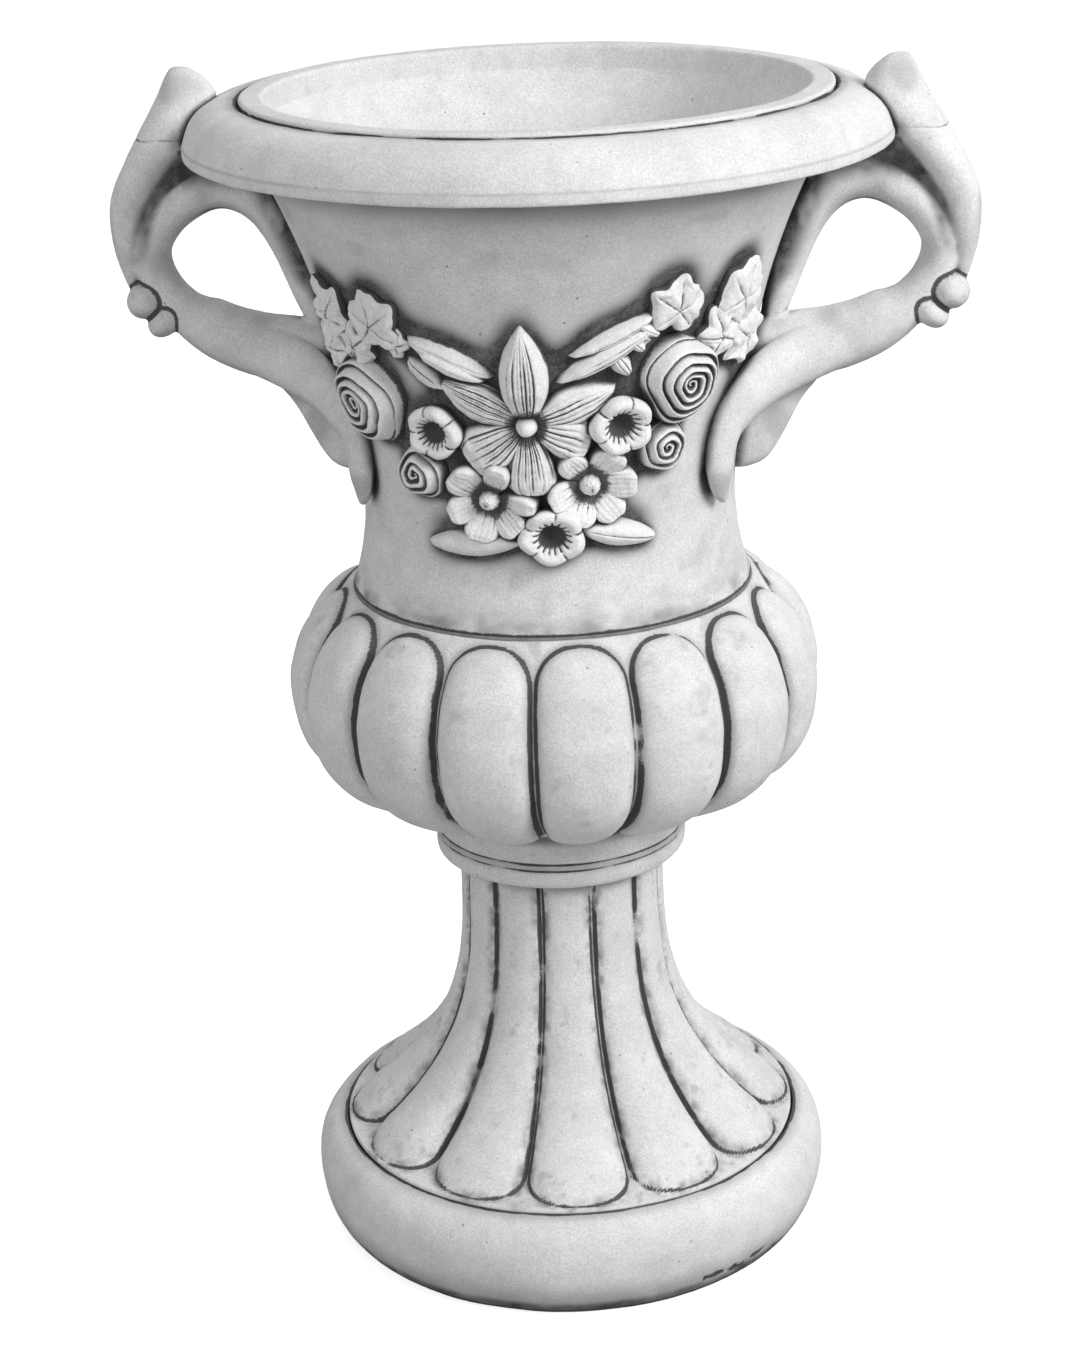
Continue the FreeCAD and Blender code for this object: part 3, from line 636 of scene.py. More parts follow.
def blossom(form, azimuth, height, radius, petals, seed):
    """Petals given as (bearing, share of the radius, half width, lift)."""
    for number, (bearing, reach, half, lift) in enumerate(petals):
        length = radius * reach - 3
        profile = ((0, 2.0), (.22, 3.6 + 0.5 * lift), (.5, 8.0 + lift), (.75, 12.0 + lift), (.9, 12.4 + lift),
                   (1, 8.0))
        grid, marks = strip(length, half, ROUNDED, profile, 4.2, (-0.55, -0.25, 0.02, 0.3, 0.58), 0.6, 0.05,
                            0.22, 3.0, seed + number, 44, 45)
        # painted shade: each petal darkens towards the flower's centre, and its groove marks fade towards the tip
        along = (grid[..., 0] - 3) / length
        marks = np.maximum(marks * (0.8 - 0.6 * ease(along, 0.4, 0.8)), 0.95 * (1 - ease(along, 0.14, 0.58)))
        marks = np.where(grid[..., 2] < SUNK + 1, 1, marks)
        form.tube(on_bell(spun(grid, bearing), azimuth, height), marks)
    grid, marks = knob(6.8, 12.0, seed, 0.7)
    form.tube(on_bell(grid, azimuth, height), marks * 0.6)


def between(form, start, end, half, grooves, seed, rise, outline=SLENDER):
    """Slender leaf on the bell from one (azimuth, height) to another."""
    height = (start[1] + end[1]) / 2
    run = math.radians(end[0] - start[0]) * float(bell_at(height))
    up = end[1] - start[1]
    length = math.hypot(run, up)
    profile = ((0, 0.45 * rise), (.2, 0.9 * rise), (.5, rise), (.8, 0.9 * rise), (1, 0.5 * rise))
    grid, marks = strip(length, half, outline, profile, 2.2, grooves, 1.1, 0.07, 0.0, -length / 2, seed, 48, 37)
    form.tube(on_bell(grid, (start[0] + end[0]) / 2, height, math.degrees(math.atan2(up, run))), marks)


def garland():
    forms = {name: Form() for name in ("trumpets", "large_roses", "small_roses", "blossoms", "lily", "pods",
                                       "ivy_leaves")}

    def lay(name, flower, azimuth, height, spin):
        grid, marks = flower
        forms[name].tube(on_bell(grid, azimuth, height, spin), marks)
    for azimuth, height, radius, spin, seed in ((-24.6, 592.5, 17.3, 10, 1), (24.0, 596.5, 19.0, -14, 2),
                                                (5.6, 526.5, 19.5, 20, 4)):
        lay("trumpets", trumpet(radius, seed), azimuth, height, spin)
    for azimuth, height, spin, seed in ((-47.0, 606, 40, 2), (40.6, 620, 200, 5)):
        grid, marks = rose(27.5, 5.6, seed)
        lay("large_roses", (grid * [0.96, 1.06, 1], marks), azimuth, height, spin)
    for azimuth, height, spin, seed in ((-31.8, 563, 0, 3), (37.0, 577.5, 150, 7)):
        lay("small_roses", rose(17.4, 3.6, seed), azimuth, height, spin)
    blossom(forms["blossoms"], -11.6, 548.5, 29.0,
            ((201, .95, 11.0, .5), (255, 1.0, 12.5, 0), (313, 1.0, 12.0, .6),
             (357, 1.08, 7.2, 2.2), (69, .95, 9.0, 1.6), (138, 1.0, 12.2, 1.2)), 11)
    blossom(forms["blossoms"], 16.3, 557.5, 28.5,
            ((203, .98, 10.8, 0), (250, 1.0, 12.0, .6), (305, 1.0, 12.0, 0),
             (1, 1.02, 11.0, 1.2), (54, 1.0, 12.0, .6), (128, .9, 10.0, -.8)), 23)
    lily(forms["lily"], 0.0, 598)
    for leaf in (((-30.5, 651), (-7.5, 628), 7.2, (-0.35, 0.3), 31, 9.5),
                 ((-27.5, 646), (-9.5, 626), 6.4, (0.0,), 41, 12.0),
                 ((33.5, 660), (7.5, 624), 7.4, (-0.1, 0.35), 32, 12.0),
                 ((33.0, 665), (11.0, 640), 5.5, (0.2,), 42, 9.0),
                 ((-33.5, 516), (-1.0, 522), 9.6, (), 33, 10.5),
                 ((37.6, 517.0), (11.0, 531), 9.6, (0.1,), 34, 12.0),
                 ((-31.0, 638), (-20.5, 619), 7.4, (-0.3, 0.2), 35, 9.0, POINTED),
                 ((26.5, 626), (21.0, 643), 6.6, (-0.3, 0.2), 36, 9.5, POINTED),
                 ((29.5, 641), (24.0, 655), 5.6, (0.0,), 37, 10.5, POINTED),
                 ((33.5, 650), (26.5, 660), 5.0, (0.1,), 38, 9.5, POINTED)):
        between(forms["pods"], *leaf)
    for azimuth, height, size, spin, seed in (
            (-38.6, 657, 42, 4, 1), (-56.5, 656, 42, 22, 2), (-59.5, 634, 36, -30, 3), (-47.5, 640, 30, -60, 7),
            (-33.0, 645, 20, 50, 8), (28.0, 649, 19, 20, 9), (36.6, 666, 39, -6, 4), (57.5, 664, 46, -20, 5),
            (52.5, 641, 37, 24, 6), (65.0, 634, 42, 60, 10)):
        lay("ivy_leaves", ivy(size, seed), azimuth, height, spin)
    return forms


forms = garland()


# ---------------------------------------------------------------- handles
def limb(stations, around=30, step=2.5):
    """Oval tube through rows of x, y, z, half width, half depth, and the direction of the depth."""
    rows = spline(stations, step, 3)
    centre, sizes, deep = rows[:, :3], np.maximum(rows[:, 3:5], 0.4), rows[:, 5:8]
    along = unit(np.gradient(centre, axis=0))
    wide = unit(np.cross(along, deep))
    deep = np.cross(wide, along)
    angle = circle(around)
    return (centre[:, None] + wide[:, None] * (sizes[:, None, :1] * np.cos(angle)[None, :, None])
            + deep[:, None] * (sizes[:, None, 1:] * np.sin(angle)[None, :, None]))


# x, z, half length, half width, half depth and tilt of each bead
BEADS = ((256.5, 647.0, 12.8, 11.8, 18.5, 42), (244.5, 634.0, 13.5, 10.0, 17.5, 42))


def upright(rows):
    """Centres and half sizes from rows of height, inner x, outer x and half depth."""
    return spline([((inner + outer) / 2, 0, z, (outer - inner) / 2, depth)
                   for z, inner, outer, depth in rows], 2.5, 3)


def handle_form():
    form = Form()
    front = (0, -1, 0)
    strand = [(141, 0, 622, 5, 8), (148, 0, 642, 9, 11), (153, 0, 664, 12.5, 14), (161, 0, 688, 14.5, 16),
              (174, 0, 707, 14.5, 17), (191, 0, 717, 13.5, 17), (209, 0, 718, 13.2, 17), (226, 0, 711, 13.5, 17),
              (240, 0, 699, 13, 16.5), (248.5, 0, 684, 12, 16), (249.5, 0, 669, 12.2, 14.5),
              (243.5, 0, 654, 12.8, 13.5), (234, 0, 642, 13.8, 14.5), (225, 0, 634.5, 16, 16.5),
              (215, 0, 629, 18.5, 18.5), (201, 0, 622, 20, 19), (182, 0, 616, 21, 20), (160, 0, 613, 21.5, 21),
              (142, 0, 611.5, 21.5, 21.5), (127, 0, 610, 21, 21)]
    form.tube(limb([row + front for row in strand]))
    # the arm parts into a tail on each side, which runs down the bell
    for side in (-1, 1):
        tail = []
        for x, y, z, width, depth, blend in ((196, 3, 618, 17, 15, 0), (176, 9, 613, 18, 15, 0.1),
                                             (158, 20, 607, 18, 14, 0.35), (142, 33, 600, 17.5, 13, 0.65),
                                             (128.5, 47, 590, 16, 11, 0.9), (117.5, 58.5, 577, 13.5, 10, 1),
                                             (113, 63, 562, 12, 9, 1), (112.5, 63.5, 547, 10.5, 7.5, 1),
                                             (113, 60, 535, 7, 5, 1), (114.5, 56, 526, 2.5, 2.5, 1)):
            radial = np.array([x, side * y, 0.0]) / math.hypot(x, y)
            deep = (1 - blend) * np.array([0, side, 0.0]) + blend * radial
            tail.append((x, side * y, z, width, depth) + tuple(deep))
        form.tube(limb(tail))
    # pointed hood outside the strand
    rows = upright(((652, 262, 266, 2), (662, 259.5, 269.5, 7), (675, 258, 273, 12), (690, 254, 275, 16),
                    (706, 249, 274.5, 19.5), (721, 240, 270.5, 22.5), (736, 228, 263, 25), (751, 214, 254.5, 26),
                    (765, 206.5, 246, 24.5), (776, 202.5, 239.5, 21), (784, 206, 235.5, 15.5),
                    (790, 212.5, 232.5, 9.5), (793.5, 217.5, 230, 4.5), (794.6, 221, 228, 1.5)))
    angle = circle(44)
    c, s = np.cos(angle), np.sin(angle)
    c, s = np.sign(c) * np.abs(c) ** 0.86, np.sign(s) * np.abs(s) ** 0.86
    half = np.maximum(rows[:, 3:5], 0.5)
    form.tube(np.stack([rows[:, :1] + half[:, :1] * c, half[:, 1:2] * s, rows[:, 2:3] + 0 * c], -1))
    # recessed web between strand, rim and hood
    loop = np.array([(170, 744.8), (164, 700), (176, 712), (206, 718), (232, 706), (247, 688), (257, 672),
                     (262, 690), (246, 716), (230, 738), (222, 744.8)])
    centre = loop.mean(0)
    rings = []
    for depth, share in ((-9, 0.985), (-8, 1.0), (8, 1.0), (9, 0.985)):
        flat = centre + (loop - centre) * share
        rings.append(np.stack([flat[:, 0], np.full(len(flat), float(depth)), flat[:, 1]], -1))
    form.tube(np.stack(rings))
    # two beads and the tongue under the arm
    for x, z, long, short, depth, tilt in BEADS:
        t = np.linspace(0.04, PI - 0.04, 16)[:, None]
        a = circle(28)
        p = np.cos(t) * long + 0 * a
        q = np.sin(t) * np.cos(a) * short
        turn = math.radians(180 - tilt)
        form.tube(np.stack([x + p * math.cos(turn) - q * math.sin(turn), np.sin(t) * np.sin(a) * depth,
                            z + p * math.sin(turn) + q * math.cos(turn)], -1))
    rows = upright(((602, 112, 176, 10), (592, 112, 175, 12), (580, 112, 165.5, 14), (567, 112, 158, 15),
                    (553, 112, 151, 15), (543, 113, 145, 13.5), (537, 114, 138.5, 11), (533.5, 116, 130, 7)))
    form.tube(np.stack([rows[:, :1] + rows[:, 3:4] * c, rows[:, 4:5] * s, rows[:, 2:3] + 0 * c], -1))
    return form


def sculpted(form, name, voxel, smoothing):
    """One skin over all parts of a form."""
    rough = linked(name + "_rough", form.mesh(name + "_rough"))
    skin = rough.modifiers.new("skin", "REMESH")
    skin.mode = "VOXEL"
    skin.voxel_size = voxel * MM
    soft = rough.modifiers.new("soft", "SMOOTH")
    soft.factor = 0.5
    soft.iterations = smoothing
    mesh = bpy.data.meshes.new_from_object(rough.evaluated_get(bpy.context.evaluated_depsgraph_get()))
    mesh.name = name
    bpy.data.objects.remove(rough)
    points, normals = np.empty((2, len(mesh.vertices) * 3))
    mesh.vertices.foreach_get("co", points)
    mesh.vertices.foreach_get("normal", normals)
    return mesh, points.reshape(-1, 3) * 1000, normals.reshape(-1, 3)


def handles():
    mesh, points, normals = sculpted(handle_form(), "right_handle", 1.15, 5)
    lumps = layered(points, (1, 30, 4), (0.5, 9, 5), (0.25, 3, 6))
    points = points + normals * (0.35 * lumps)[:, None]
    seam = np.abs(points[:, 2] - 752 - 0.8 * noise(points, 12, 8))
    on_hood = (points[:, 0] > 200) & (points[:, 2] > 735)
    points = points - normals * (0.45 * np.exp(-(seam / 0.8) ** 2) * on_hood)[:, None]
    line = 0.62 * np.exp(-(seam / 1.1) ** 2) * on_hood
    radius = np.hypot(points[:, 0], points[:, 1])
    off_wall = radius - bell_at(points[:, 2])
    x, y, z = points.T
    rough = 1 + 0.4 * noise(points, 14, 3) + 0.3 * noise(points, 5, 4)
    # Painted shade: dark where the handle lies close to the bell wall, in the web's recess, under the rim, behind the
    # hood, where the hood meets the rim and under the arm, broken up by a rough noise.
    halo = 0.90 * ease(off_wall, 9 + 13 * ease(z, 640, 672), 1 + 3 * ease(z, 640, 672)) * (z < 745) * (z > 530)
    horn_inner = np.interp(z, (672, 690, 706, 721, 736, 751), (258, 254, 249, 240, 228, 214))
    recess_shade = ease(np.abs(y), 12.5, 9.0) * ease(z, 690, 712) * (x > 150) * (x < horn_inner + 2.5) * (z < 745.6)
    shade_under_rim = ease(z, 715, 732) * (radius < 226) * (z < 745.6)
    behind = ease(z, 660, 690) * (z < 745.6) * ease(np.abs(x - horn_inner + 1), 9, 1.5) * 0.85
    halo = most(halo, 0.92 * most(recess_shade, shade_under_rim, behind),
                0.55 * ease(z, 762, 752) * ease(radius, 233, 224) * (z > 745.6),
                0.62 * ease(z, 568, 594) * (z < 612) * ease(np.abs(y), 19, 14) * (x < 182))
    halo = halo * np.clip(rough, 0.55, 1.1)
    # painted shade in the creases round the beads
    for bead_x, bead_z, long, short, depth, tilt in BEADS:
        turn = math.radians(180 - tilt)
        p = (x - bead_x) * math.cos(turn) + (z - bead_z) * math.sin(turn)
        q = -(x - bead_x) * math.sin(turn) + (z - bead_z) * math.cos(turn)
        reach = np.sqrt((p / long) ** 2 + (q / short) ** 2 + (y / depth) ** 2)
        line = np.maximum(line, np.exp(-((reach - 1.12) / 0.12) ** 2))
    # smudges, and painted shade on every face that looks down, such as the arm's underside
    halo = most(halo, 0.30 * ease(noise(points * [1, 1, 0.6], 16, 12), 0.15, 0.8),
                0.45 * ease(normals[:, 2], -0.25, -0.95))
    mesh.vertices.foreach_set("co", (points * MM).ravel())
    mesh.polygons.foreach_set("use_smooth", np.ones(len(mesh.polygons), bool))
    for old in list(mesh.attributes):
        if old.name in ("line", "halo"):
            mesh.attributes.remove(old)
    store_wash_and_shade(mesh, line, halo)
    mesh.update()
    other = mesh.copy()
    other.name = "left_handle"
    other.transform(Matrix.Scale(-1, 4, (1, 0, 0)))
    other.flip_normals()
    return mesh, other, points


right_mesh, left_mesh, handle_points = handles()
grips = ("loop", "horn", "beads", "tongue", "tails")
for name, mesh in (("right_handle", right_mesh), ("left_handle", left_mesh)):
    show(name, mesh, "vase", [name + "_" + part for part in grips], stone)


# ---------------------------------------------------------------- bell
def bell():
    """Bell wall, with dark wash and painted shade round whatever stands on it."""
    outer = wall[::2] if len(wall) % 2 else np.vstack([wall[::2], wall[-1:]])
    inner = np.concatenate([[745, 744.75], np.linspace(740, 466, 34), [461.25, 461]])
    inner = np.stack([bell_at(inner) - WALL, inner], 1)
    loop = softened(joined(outer, crisp([(179, 745), (161, 745)], 6), inner,
                           crisp([(112.5, 461), (130.5, 461)], 6)), 1)
    grid, angle = turned(loop, 420)
    grid = cast(grid, 0.32, 61)
    # footprint of the garland and of the handles, as a map of 0.75 degrees by 2 mm
    turns, rows, first, cell = 480, 150, 455, 2
    foot = np.zeros((rows, turns))
    near = [(np.vstack(f.points), 25.0) for f in forms.values()]
    near += [(points * [-1, -1, 1], reach) for points, reach in near]
    near += [(handle_points, 3.0), (handle_points * [-1, 1, 1], 3.0)]
    for points, reach in near:
        radius = np.hypot(points[:, 0], points[:, 1])
        keep = np.abs(radius - bell_at(points[:, 2])) < reach
        spot = points[keep & (points[:, 2] < 744) & (points[:, 2] > 462)]
        bearing = np.arctan2(spot[:, 0], -spot[:, 1]) % (2 * PI)
        foot[((spot[:, 2] - first) / cell).astype(int), (bearing / (2 * PI) * turns).astype(int) % turns] = 1
    # wash and painted shade: soft halos round the footprint, spreading upward from the garland and the handles
    foot = ease(blurred(foot, 1.2, True), 0.15, 0.6)
    tight = np.clip(2.3 * blurred(foot, 2.9, True), 0, 1)
    wide = np.clip(1.75 * blurred(np.roll(foot, 4, 0), 4.2, True), 0, 1)
    faint = np.clip(1.15 * blurred(np.roll(foot, 6, 0), 8.0, True), 0, 1)
    wash_and_shade_map = most(tight ** 1.5, 0.98 * wide ** 1.5, 0.45 * faint ** 1.2)
    row = np.clip((loop[:, 1] - first) / cell, 0, rows - 2)
    low = row.astype(int)
    share = (row - low)[:, None]
    col = (angle / (2 * PI) * turns) % turns
    left = col.astype(int)
    side = (col - left)[None]
    right = (left + 1) % turns

    def sample(r):
        return wash_and_shade_map[r][:, left] * (1 - side) + wash_and_shade_map[r][:, right] * side
    halo = sample(low) * (1 - share) + sample(low + 1) * share
    z = loop[:, 1:2]
    outside = loop[:, :1] > bell_at(z) - 4
    drawn = noise(grid * [1, 1, 2.6], 19, 14) + 0.5 * noise(grid * [1, 1, 2.0], 6, 15)
    smudges = noise(grid * [1, 1, 1.6], 26, 12) + 0.4 * noise(grid, 6, 10)
    # painted shade under the rim; darker towards the bottom, in streaks; and smudges
    halo = most(halo, 0.80 * ease(z, 716, 743) ** 1.3 * (1 + 0.15 * noise(grid, 22, 9)),
                0.60 * ease(z, 486, 462) ** 1.3 * np.clip(0.55 + 0.75 * drawn, 0, 1.3),
                0.20 * ease(smudges, 0.2, 1.0))
    line = 0.95 * ease(z, 464.5, 461.5)
    return ring_mesh("bell", grid, line * outside, halo * outside)


show("bell", bell(), "vase", ["bell_body"], stone)
for name, form in forms.items():
    mesh = form.mesh("front_" + name)
    # the garland gets the brighter copy of the stone, a painted highlight
    show("front_" + name, mesh, "vase", ["front_" + name], painted_highlight_stone)
    behind = mesh.copy()
    behind.transform(Matrix.Rotation(PI, 4, "Z"))
    show("back_" + name, behind, "vase", ["back_" + name], painted_highlight_stone)


# ---------------------------------------------------------------- bowl and stem, relief on a turned body
def cushions(base, count, turn, start, end, cap_start, cap_end, gap, columns, power=2.5, full=0.56):
    """Lobes that swell from a turned curve of radius, height and lobe height; returns the points and how far each
    lies inside the edge of its lobe."""
    u = np.linspace(-1, 1, columns, endpoint=False) + 1 / columns
    u = 0.45 * u + 0.55 * np.sin(PI / 2 * u)
    share = np.concatenate([u + 2 * k for k in range(count)]) * 0.5
    angle = share * 2 * PI / count + math.radians(turn)
    along = lengths(base)[:, None]
    tangent = unit(np.gradient(base[:, :2], axis=0))
    normal = np.stack([tangent[:, 1], -tangent[:, 0]], 1)
    if normal[len(normal) // 2, 0] < 0:
        normal = -normal
    half = PI * base[:, 0] / count - gap / 2
    across = np.tile(u, count)[None] * (PI * base[:, :1] / count)
    wander = 1 + 0.018 * np.sin(3.1 * np.floor(share + 0.5) + 1.3)[None]
    over = np.where(along < start + cap_start, (start + cap_start - along) / cap_start,
                    np.where(along > end - cap_end, (along - end + cap_end) / cap_end, 0.0))
    rho = (np.abs(across / (half[:, None] * wander)) ** 2.2 + np.maximum(over, 0) ** 2.2) ** (1 / 2.2)
    swell = (1 - np.minimum(rho, 1) ** power) ** full
    swell = (np.roll(swell, 1, 1) + 2 * swell + np.roll(swell, -1, 1)) / 4
    out = swell * base[:, 2:3]
    radius = base[:, :1] + normal[:, :1] * out
    z = base[:, 1:2] + normal[:, 1:2] * out
    return about_axis(radius, z, angle), (1 - rho) * half[:, None]


def closed(grid, edge, rest):
    """Adds the hidden rows of a loop to a relief grid."""
    hidden = about_axis(rest[:, :1], rest[:, 1:2], np.arctan2(grid[0, :, 0], -grid[0, :, 1]))
    return np.concatenate([grid, hidden]), np.concatenate([edge, np.full(hidden.shape[:2], HIDDEN)])


def bowl():
    base = spline([(88, 309, 0), (97, 313, 1.5), (107, 318.6, 6), (122.5, 328.9, 10), (139.5, 341, 12.5),
                   (152, 353.8, 13.3), (159.7, 370.4, 13.5), (162.4, 395, 13.6), (160.7, 407.3, 13.4),
                   (156.5, 422.4, 12.8), (149.4, 435.4, 11.5), (141.6, 448.4, 8), (137, 455, 3), (133.5, 458.2, .5),
                   (130.6, 459.2, 0)], 1.7)
    total = lengths(base)[-1]
    grid, edge = cushions(base, 16, 11.25, 8, total - 6, 24, 27, 3.4, 38)
    rest = straight([(129.5, 458.2), (112.5, 458), (128, 432), (136, 402), (118, 358), (50, 333.2), (14.2, 333),
                     (14.2, 309), (86, 309)], 6)
    grid, edge = closed(grid, edge, rest)
    grid = cast(grid, 0.4, 21)
    relief = edge < HIDDEN
    rough = 1 + layered(grid, (0.5, 30, 3), (0.35, 8, 4))
    line = ease(np.abs(edge - 0.2), 2.6, 0.7) * np.clip(rough, 0.5, 1)
    z = grid[..., 2]
    # painted shade beside the grooves and on the bowl's downward-facing bottom, and smudges
    halo = 0.34 * ease(np.abs(edge), 6.0, 0.5) * np.clip(rough, 0, 1.3) * relief
    halo = np.maximum(halo, 0.66 * ease(z, 322, 309) * relief)
    halo = np.maximum(halo, 0.24 * ease(noise(grid * [1, 1, 0.6], 15, 13) + 0.5 * noise(grid, 4, 14), 0.35, 1.1))
    return ring_mesh("bowl", grid, line * relief, halo)


def stem():
    base = spline([(63.8, 268, 5.6), (63.3, 245, 5.6), (64.3, 212, 5.8), (67.3, 185, 6.2), (72.5, 161, 7.2),
                   (80.5, 139, 8.8), (91.5, 119, 10.6), (104.5, 101.5, 12.4), (117, 88.5, 13.6), (127.5, 79.8, 13.9),
                   (136.5, 74.8, 12.6), (144, 72.7, 10.5), (150, 72.1, 7.5), (155.2, 71.9, 0)], 1.6)
    total = lengths(base)[-1]
    grid, edge = cushions(base, 12, 7.0, -60, total - 2.2, 20, 30, 2.6, 42, 2.4, 0.55)
    rest = straight([(155.2, 65.2), (25.2, 65.2), (25.2, 268), (58, 268)], 8)
    grid, edge = closed(grid, edge, rest)
    grid = cast(grid, 0.42, 31)
    relief = edge < HIDDEN
    rough = 1 + layered(grid, (0.75, 26, 5), (0.5, 7, 6))
    line = ease(np.abs(edge - 0.1), 2.2, 0.4) * np.clip(0.95 * rough, 0.2, 1)
    z = grid[..., 2]
    ragged = 0.55 + layered(grid, (0.8, 9, 18), (0.7, 3, 19))
    # painted shade beside the flutes and under the foot's overhang at the top, and streaky dirt
    halo = 0.60 * ease(np.abs(edge), 7.5, 0.2) * np.clip(ragged, 0, 1.4) * relief
    halo = np.maximum(halo, 0.6 * ease(z, 256, 268) * relief)
    streaks = noise(grid * [1, 1, 0.22], 5.5, 15) + layered(grid, (0.7, 3, 16), (0.8, 24, 17))
    halo = np.maximum(halo, 0.30 * ease(streaks, 0.6, 1.5) * relief)
    return ring_mesh("stem", grid, line * relief, halo)


show("bowl", bowl(), "vase", ["gadrooned_bowl"], stone)
show("stem", stem(), "pedestal", ["fluted_stem"], stone)


# ---------------------------------------------------------------- turned mouldings
def fold(z, at, width):
    """Dark line at a height."""
    return np.exp(-((z - at) / width) ** 2)


def moulding(name, body, nodes, loop, columns, wash_and_shade, amount, seed, chips=()):
    """Turned piece; wash_and_shade(radius, height) gives the dark line and halo of wash and painted shade over its
    loop, and chips are dark nicks given as (azimuth, height, half width, half height)."""
    grid, angle = turned(loop, columns)
    grid = cast(grid, amount, seed)
    line, halo = wash_and_shade(loop[:, :1], loop[:, 1:2])
    rough = 1 + layered(grid, (0.55, 24, seed + 5), (0.4, 7, seed + 6))
    line = np.clip(line * rough, 0, 1)
    ragged = 0.6 * noise(grid, 3.2, seed + 7)
    for azimuth, height, wide, high in chips:
        around = (angle - math.radians(azimuth) + PI) % (2 * PI) - PI
        away = np.hypot(around[None] * loop[:, :1] / wide, (loop[:, 1:2] - height) / high) + ragged
        nick = ease(away, 1.0, 0.5) * (loop[:, :1] > 130)
        grid = grid - normals_of(grid) * (1.3 * nick)[..., None]
        line = np.maximum(line, nick)
    grid[..., 2] = np.maximum(grid[..., 2], 0)
    halo = np.clip(halo * (0.6 + 0.4 * rough), 0, 1)
    show(name, ring_mesh(name, grid, line, halo), body, nodes, stone)


foot_loop = softened(joined(
    spline([(87.3, 306), (85.2, 301), (83.4, 296), (82.8, 291), (83.2, 287.5)], 1),
    straight([(83.2, 287.5), (82.0, 286.4), (83.7, 285.2), (84.1, 283.2), (82.3, 281.8)], 0.7),
    spline([(82.3, 281.8), (83.9, 280), (84.5, 276.5), (84.0, 272.5), (82.2, 269.8), (79.5, 268.4)], 0.9),
    straight([(79.5, 268.4), (78, 268), (26.5, 268)], 6), straight([(26.5, 268), (26.5, 306)], 6),
    crisp([(26.5, 306), (87.3, 306)], 6)), 1)
# painted shade under the bowl's overhang at the top of the foot and round its grooves; dark lines in the grooves and
# at the bottom edge
moulding("foot", "vase", ["vase_foot"], foot_loop, 300,
         lambda r, z: ((0.95 * fold(z, 286.4, 0.8) + 0.95 * fold(z, 281.9, 0.8)
                        + 0.9 * ease(z, 270.3, 268.6)) * (r > 60),
                       (0.7 * ease(z, 298, 306) + 0.3 * ease(np.abs(z - 284), 5, 1)) * (r > 60)), 0.25, 41)

plinth_loop = softened(joined(
    spline([(164, 0), (167.8, 4.5), (172.2, 13), (175.7, 25), (177, 38), (176.2, 49), (172.2, 59.5), (165.5, 66.5),
            (159, 69.6)], 1.5),
    straight([(159, 69.6), (157, 70.0), (156.2, 68.5), (156, 65)], 0.8),
    straight([(156, 65), (25.2, 65), (25.2, 26), (118, 26), (118, 0), (164, 0)], 7)), 1)
# painted shade on the top beside the stem; the darker band low down is part dirt, part painted shade; dark nicks
# where chipped
moulding("base", "pedestal", ["base_plinth"], plinth_loop, 420,
         lambda r, z: (0.95 * ease(r, 160.2, 157) * (z > 64) + 0.9 * ease(z, 3.2, 0.3) * (r > 150),
                       most(0.4 * ease(r, 166, 157) * (z > 60), 0.45 * ease(z, 34, 6),
                            0.85 * ease(z, 17, 7)) * (r > 120)),
         0.45, 51, ((38, 13, 10, 4.2), (44, 11, 8, 4), (51, 14, 8, 3.2), (57, 9, 5, 2.4), (-112, 8, 6, 3)))

rim_loop = softened(joined(
    crisp([(179, 745), (219, 745)], 3), straight([(219, 745), (221, 745.5), (221.5, 747.5), (221.5, 751.6),
                                                    (221.1, 752.2), (220.7, 753)], 0.8),
    spline([(220.7, 753), (219.3, 757.5), (216.3, 764), (210.8, 770.2), (203, 774.6), (194, 776.8),
            (187.4, 777.2)], 1.2),
    straight([(187.4, 777.2), (186, 776.3), (185.3, 774.5)], 0.7),
    crisp([(185.3, 774.5), (185.2, 764), (170, 764), (159.5, 741.8), (164, 741.8), (179, 745)], 5)), 1)
# painted shade on the rim's underside and on its top beside the lip, with dark lines at the lip's joint and in the
# groove
moulding("rim", "vase", ["rim_moulding"], rim_loop, 480,
         lambda r, z: (0.95 * ease(r, 189.6, 186.8) * (z > 770) + 0.24 * fold(z, 752.3, 0.8) * (r > 215),
                       np.maximum(0.50 * ease(r, 196, 187) * (z > 765) + 0.32 * fold(z, 752.3, 0.9) * (r > 215),
                                  0.85 * (z < 745.6) * ease(r, 222, 200) * (r > 180))), 0.32, 61)

lip_loop = softened(joined(
    straight([(169.8, 764), (169.6, 778.6), (170.6, 779.6), (171.5, 779.8)], 1.6),
    straight([(171.5, 779.8), (183, 779.8), (184.5, 779.3), (184.9, 778)], 1.4),
    crisp([(184.9, 778), (185, 764), (173, 760.6), (168.9, 760.6), (169.8, 764)], 2.5)), 1)
moulding("lip", "vase", ["rim_lip"], lip_loop, 480,
         lambda r, z: (0.9 * ease(z, 778.6, 777.2) * (r > 183), 0 * z), 0.32, 61)


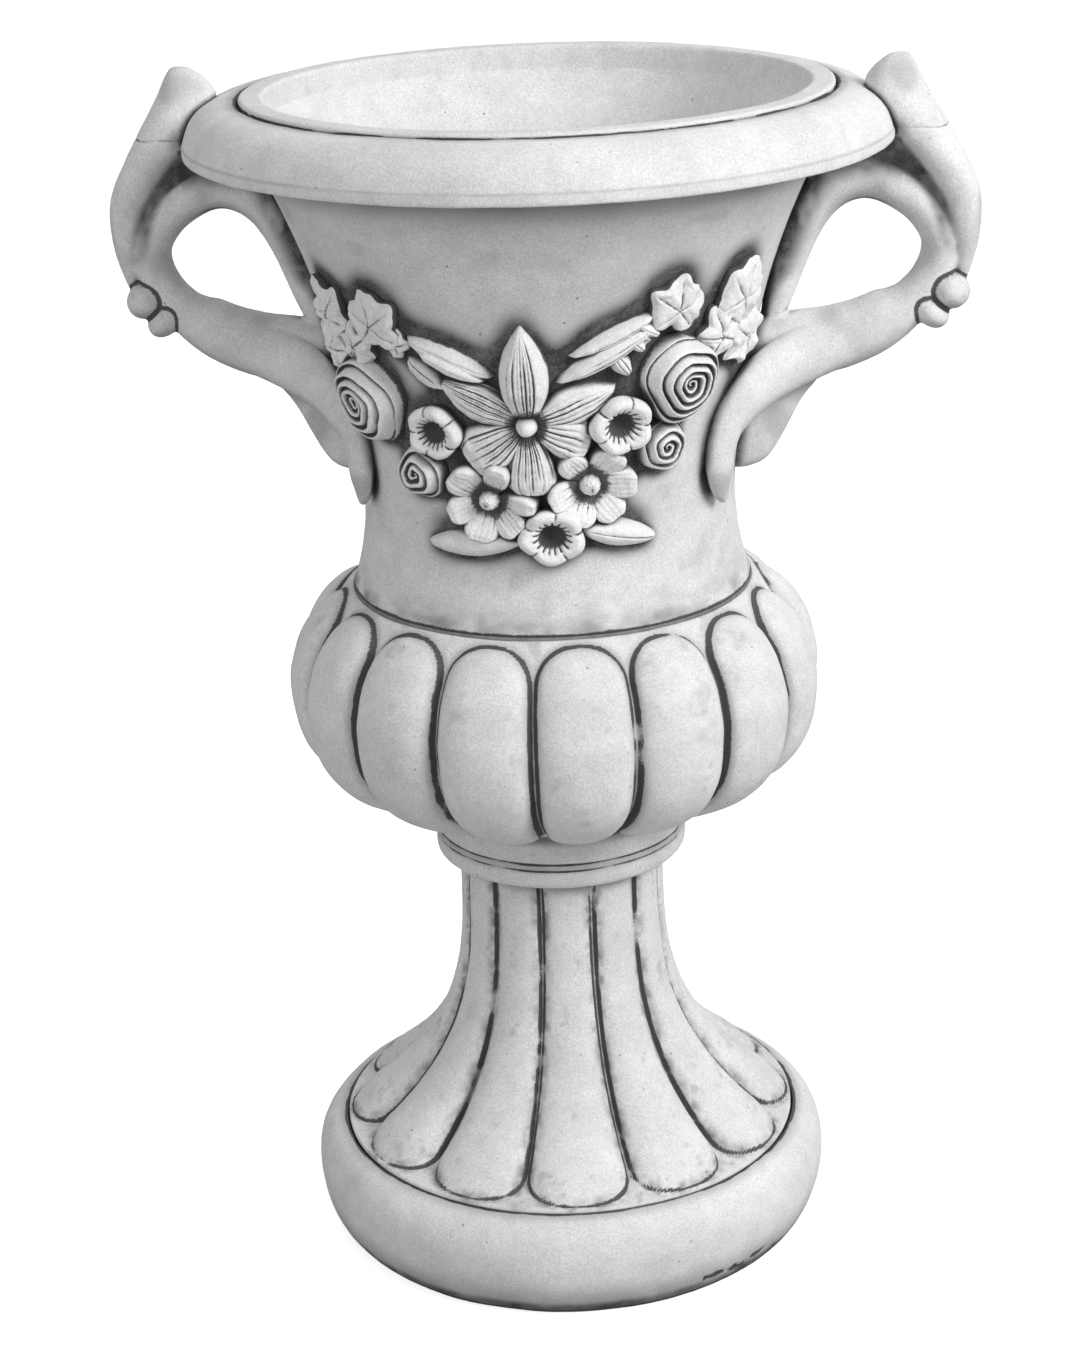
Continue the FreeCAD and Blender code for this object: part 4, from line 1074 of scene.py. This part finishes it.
# ---------------------------------------------------------------- floor, light and camera
def studio():
    mesh = bpy.data.meshes.new("floor")
    mesh.from_pydata([(-9, -9, 0), (9, -9, 0), (9, 9, 0), (-9, 9, 0)], [], [(0, 1, 2, 3)])
    linked("floor", mesh)
    s = Shader("floor")
    s.tree.nodes.remove(s.bsdf)
    matt = s.node("ShaderNodeBsdfDiffuse", {"Color": grey(0.86)})
    dim = s.node("ShaderNodeBsdfDiffuse", {"Color": grey(0.42)})
    glow = s.node("ShaderNodeEmission", {"Color": grey(1.0), "Strength": 0.74})
    both = s.node("ShaderNodeAddShader", {0: matt.outputs[0], 1: glow.outputs[0]})
    seen = s.node("ShaderNodeLightPath").outputs["Is Camera Ray"]
    picked = s.node("ShaderNodeMixShader", {0: seen, 1: dim.outputs[0], 2: both.outputs[0]})
    s.tree.links.new(picked.outputs[0], s.tree.nodes["Material Output"].inputs["Surface"])
    mesh.materials.append(s.material)

    world = bpy.data.worlds.new("studio")
    bpy.context.scene.world = world
    world.use_nodes = True
    tree = world.node_tree
    sky = tree.nodes["Background"]
    sky.inputs["Color"].default_value = grey(1.0)
    path = tree.nodes.new("ShaderNodeLightPath")
    pick = tree.nodes.new("ShaderNodeMapRange")
    tree.links.new(path.outputs["Is Camera Ray"], pick.inputs["Value"])
    pick.inputs["To Min"].default_value = 0.40
    pick.inputs["To Max"].default_value = 1.0
    tree.links.new(pick.outputs["Result"], sky.inputs["Strength"])

    for name, place, aim, size, power in (
            ("key", (2.1, -1.25, 2.0), (0, 0, 0.42), 1.2, 55), ("fill", (-1.5, -2.4, 1.5), (0, 0, 0.4), 2.0, 15),
            ("rear", (0.7, 2.3, 2.2), (0, 0, 0.45), 1.8, 18)):
        light = bpy.data.lights.new(name, "AREA")
        light.size = size
        light.energy = power
        back = unit(np.array(place) - np.array(aim))
        right = unit(np.cross((0, 0, 1), back))
        linked(name, light).matrix_world = posed(right, np.cross(back, right), back, place)


def camera():
    """The photograph's camera: 5.3 degrees to the right of the front, 20 degrees down, rolled 2 degrees."""
    away, height = 1.786, 1.048
    swing, yaw, pitch, roll = (math.radians(v) for v in (5.3, -0.34, 20.26, -2.02))
    ahead = np.array([math.sin(yaw) * math.cos(pitch), math.cos(yaw) * math.cos(pitch), -math.sin(pitch)])
    right = np.array([math.cos(yaw), -math.sin(yaw), 0.0])
    up = np.cross(right, ahead)
    right, up = math.cos(roll) * right + math.sin(roll) * up, -math.sin(roll) * right + math.cos(roll) * up
    c, s = math.cos(swing), math.sin(swing)
    turn = np.array([[c, -s, 0], [s, c, 0], [0, 0, 1.0]])
    right, up, ahead, place = (turn @ v for v in (right, up, ahead, np.array([0, -away, height])))
    lens = bpy.data.cameras.new("camera")
    lens.lens = 76.05
    lens.sensor_width = 36
    cam = linked("camera", lens)
    cam.matrix_world = posed(right, up, -ahead, place)
    bpy.context.scene.camera = cam


studio()
camera()
bpy.context.scene.view_settings.view_transform = "Standard"
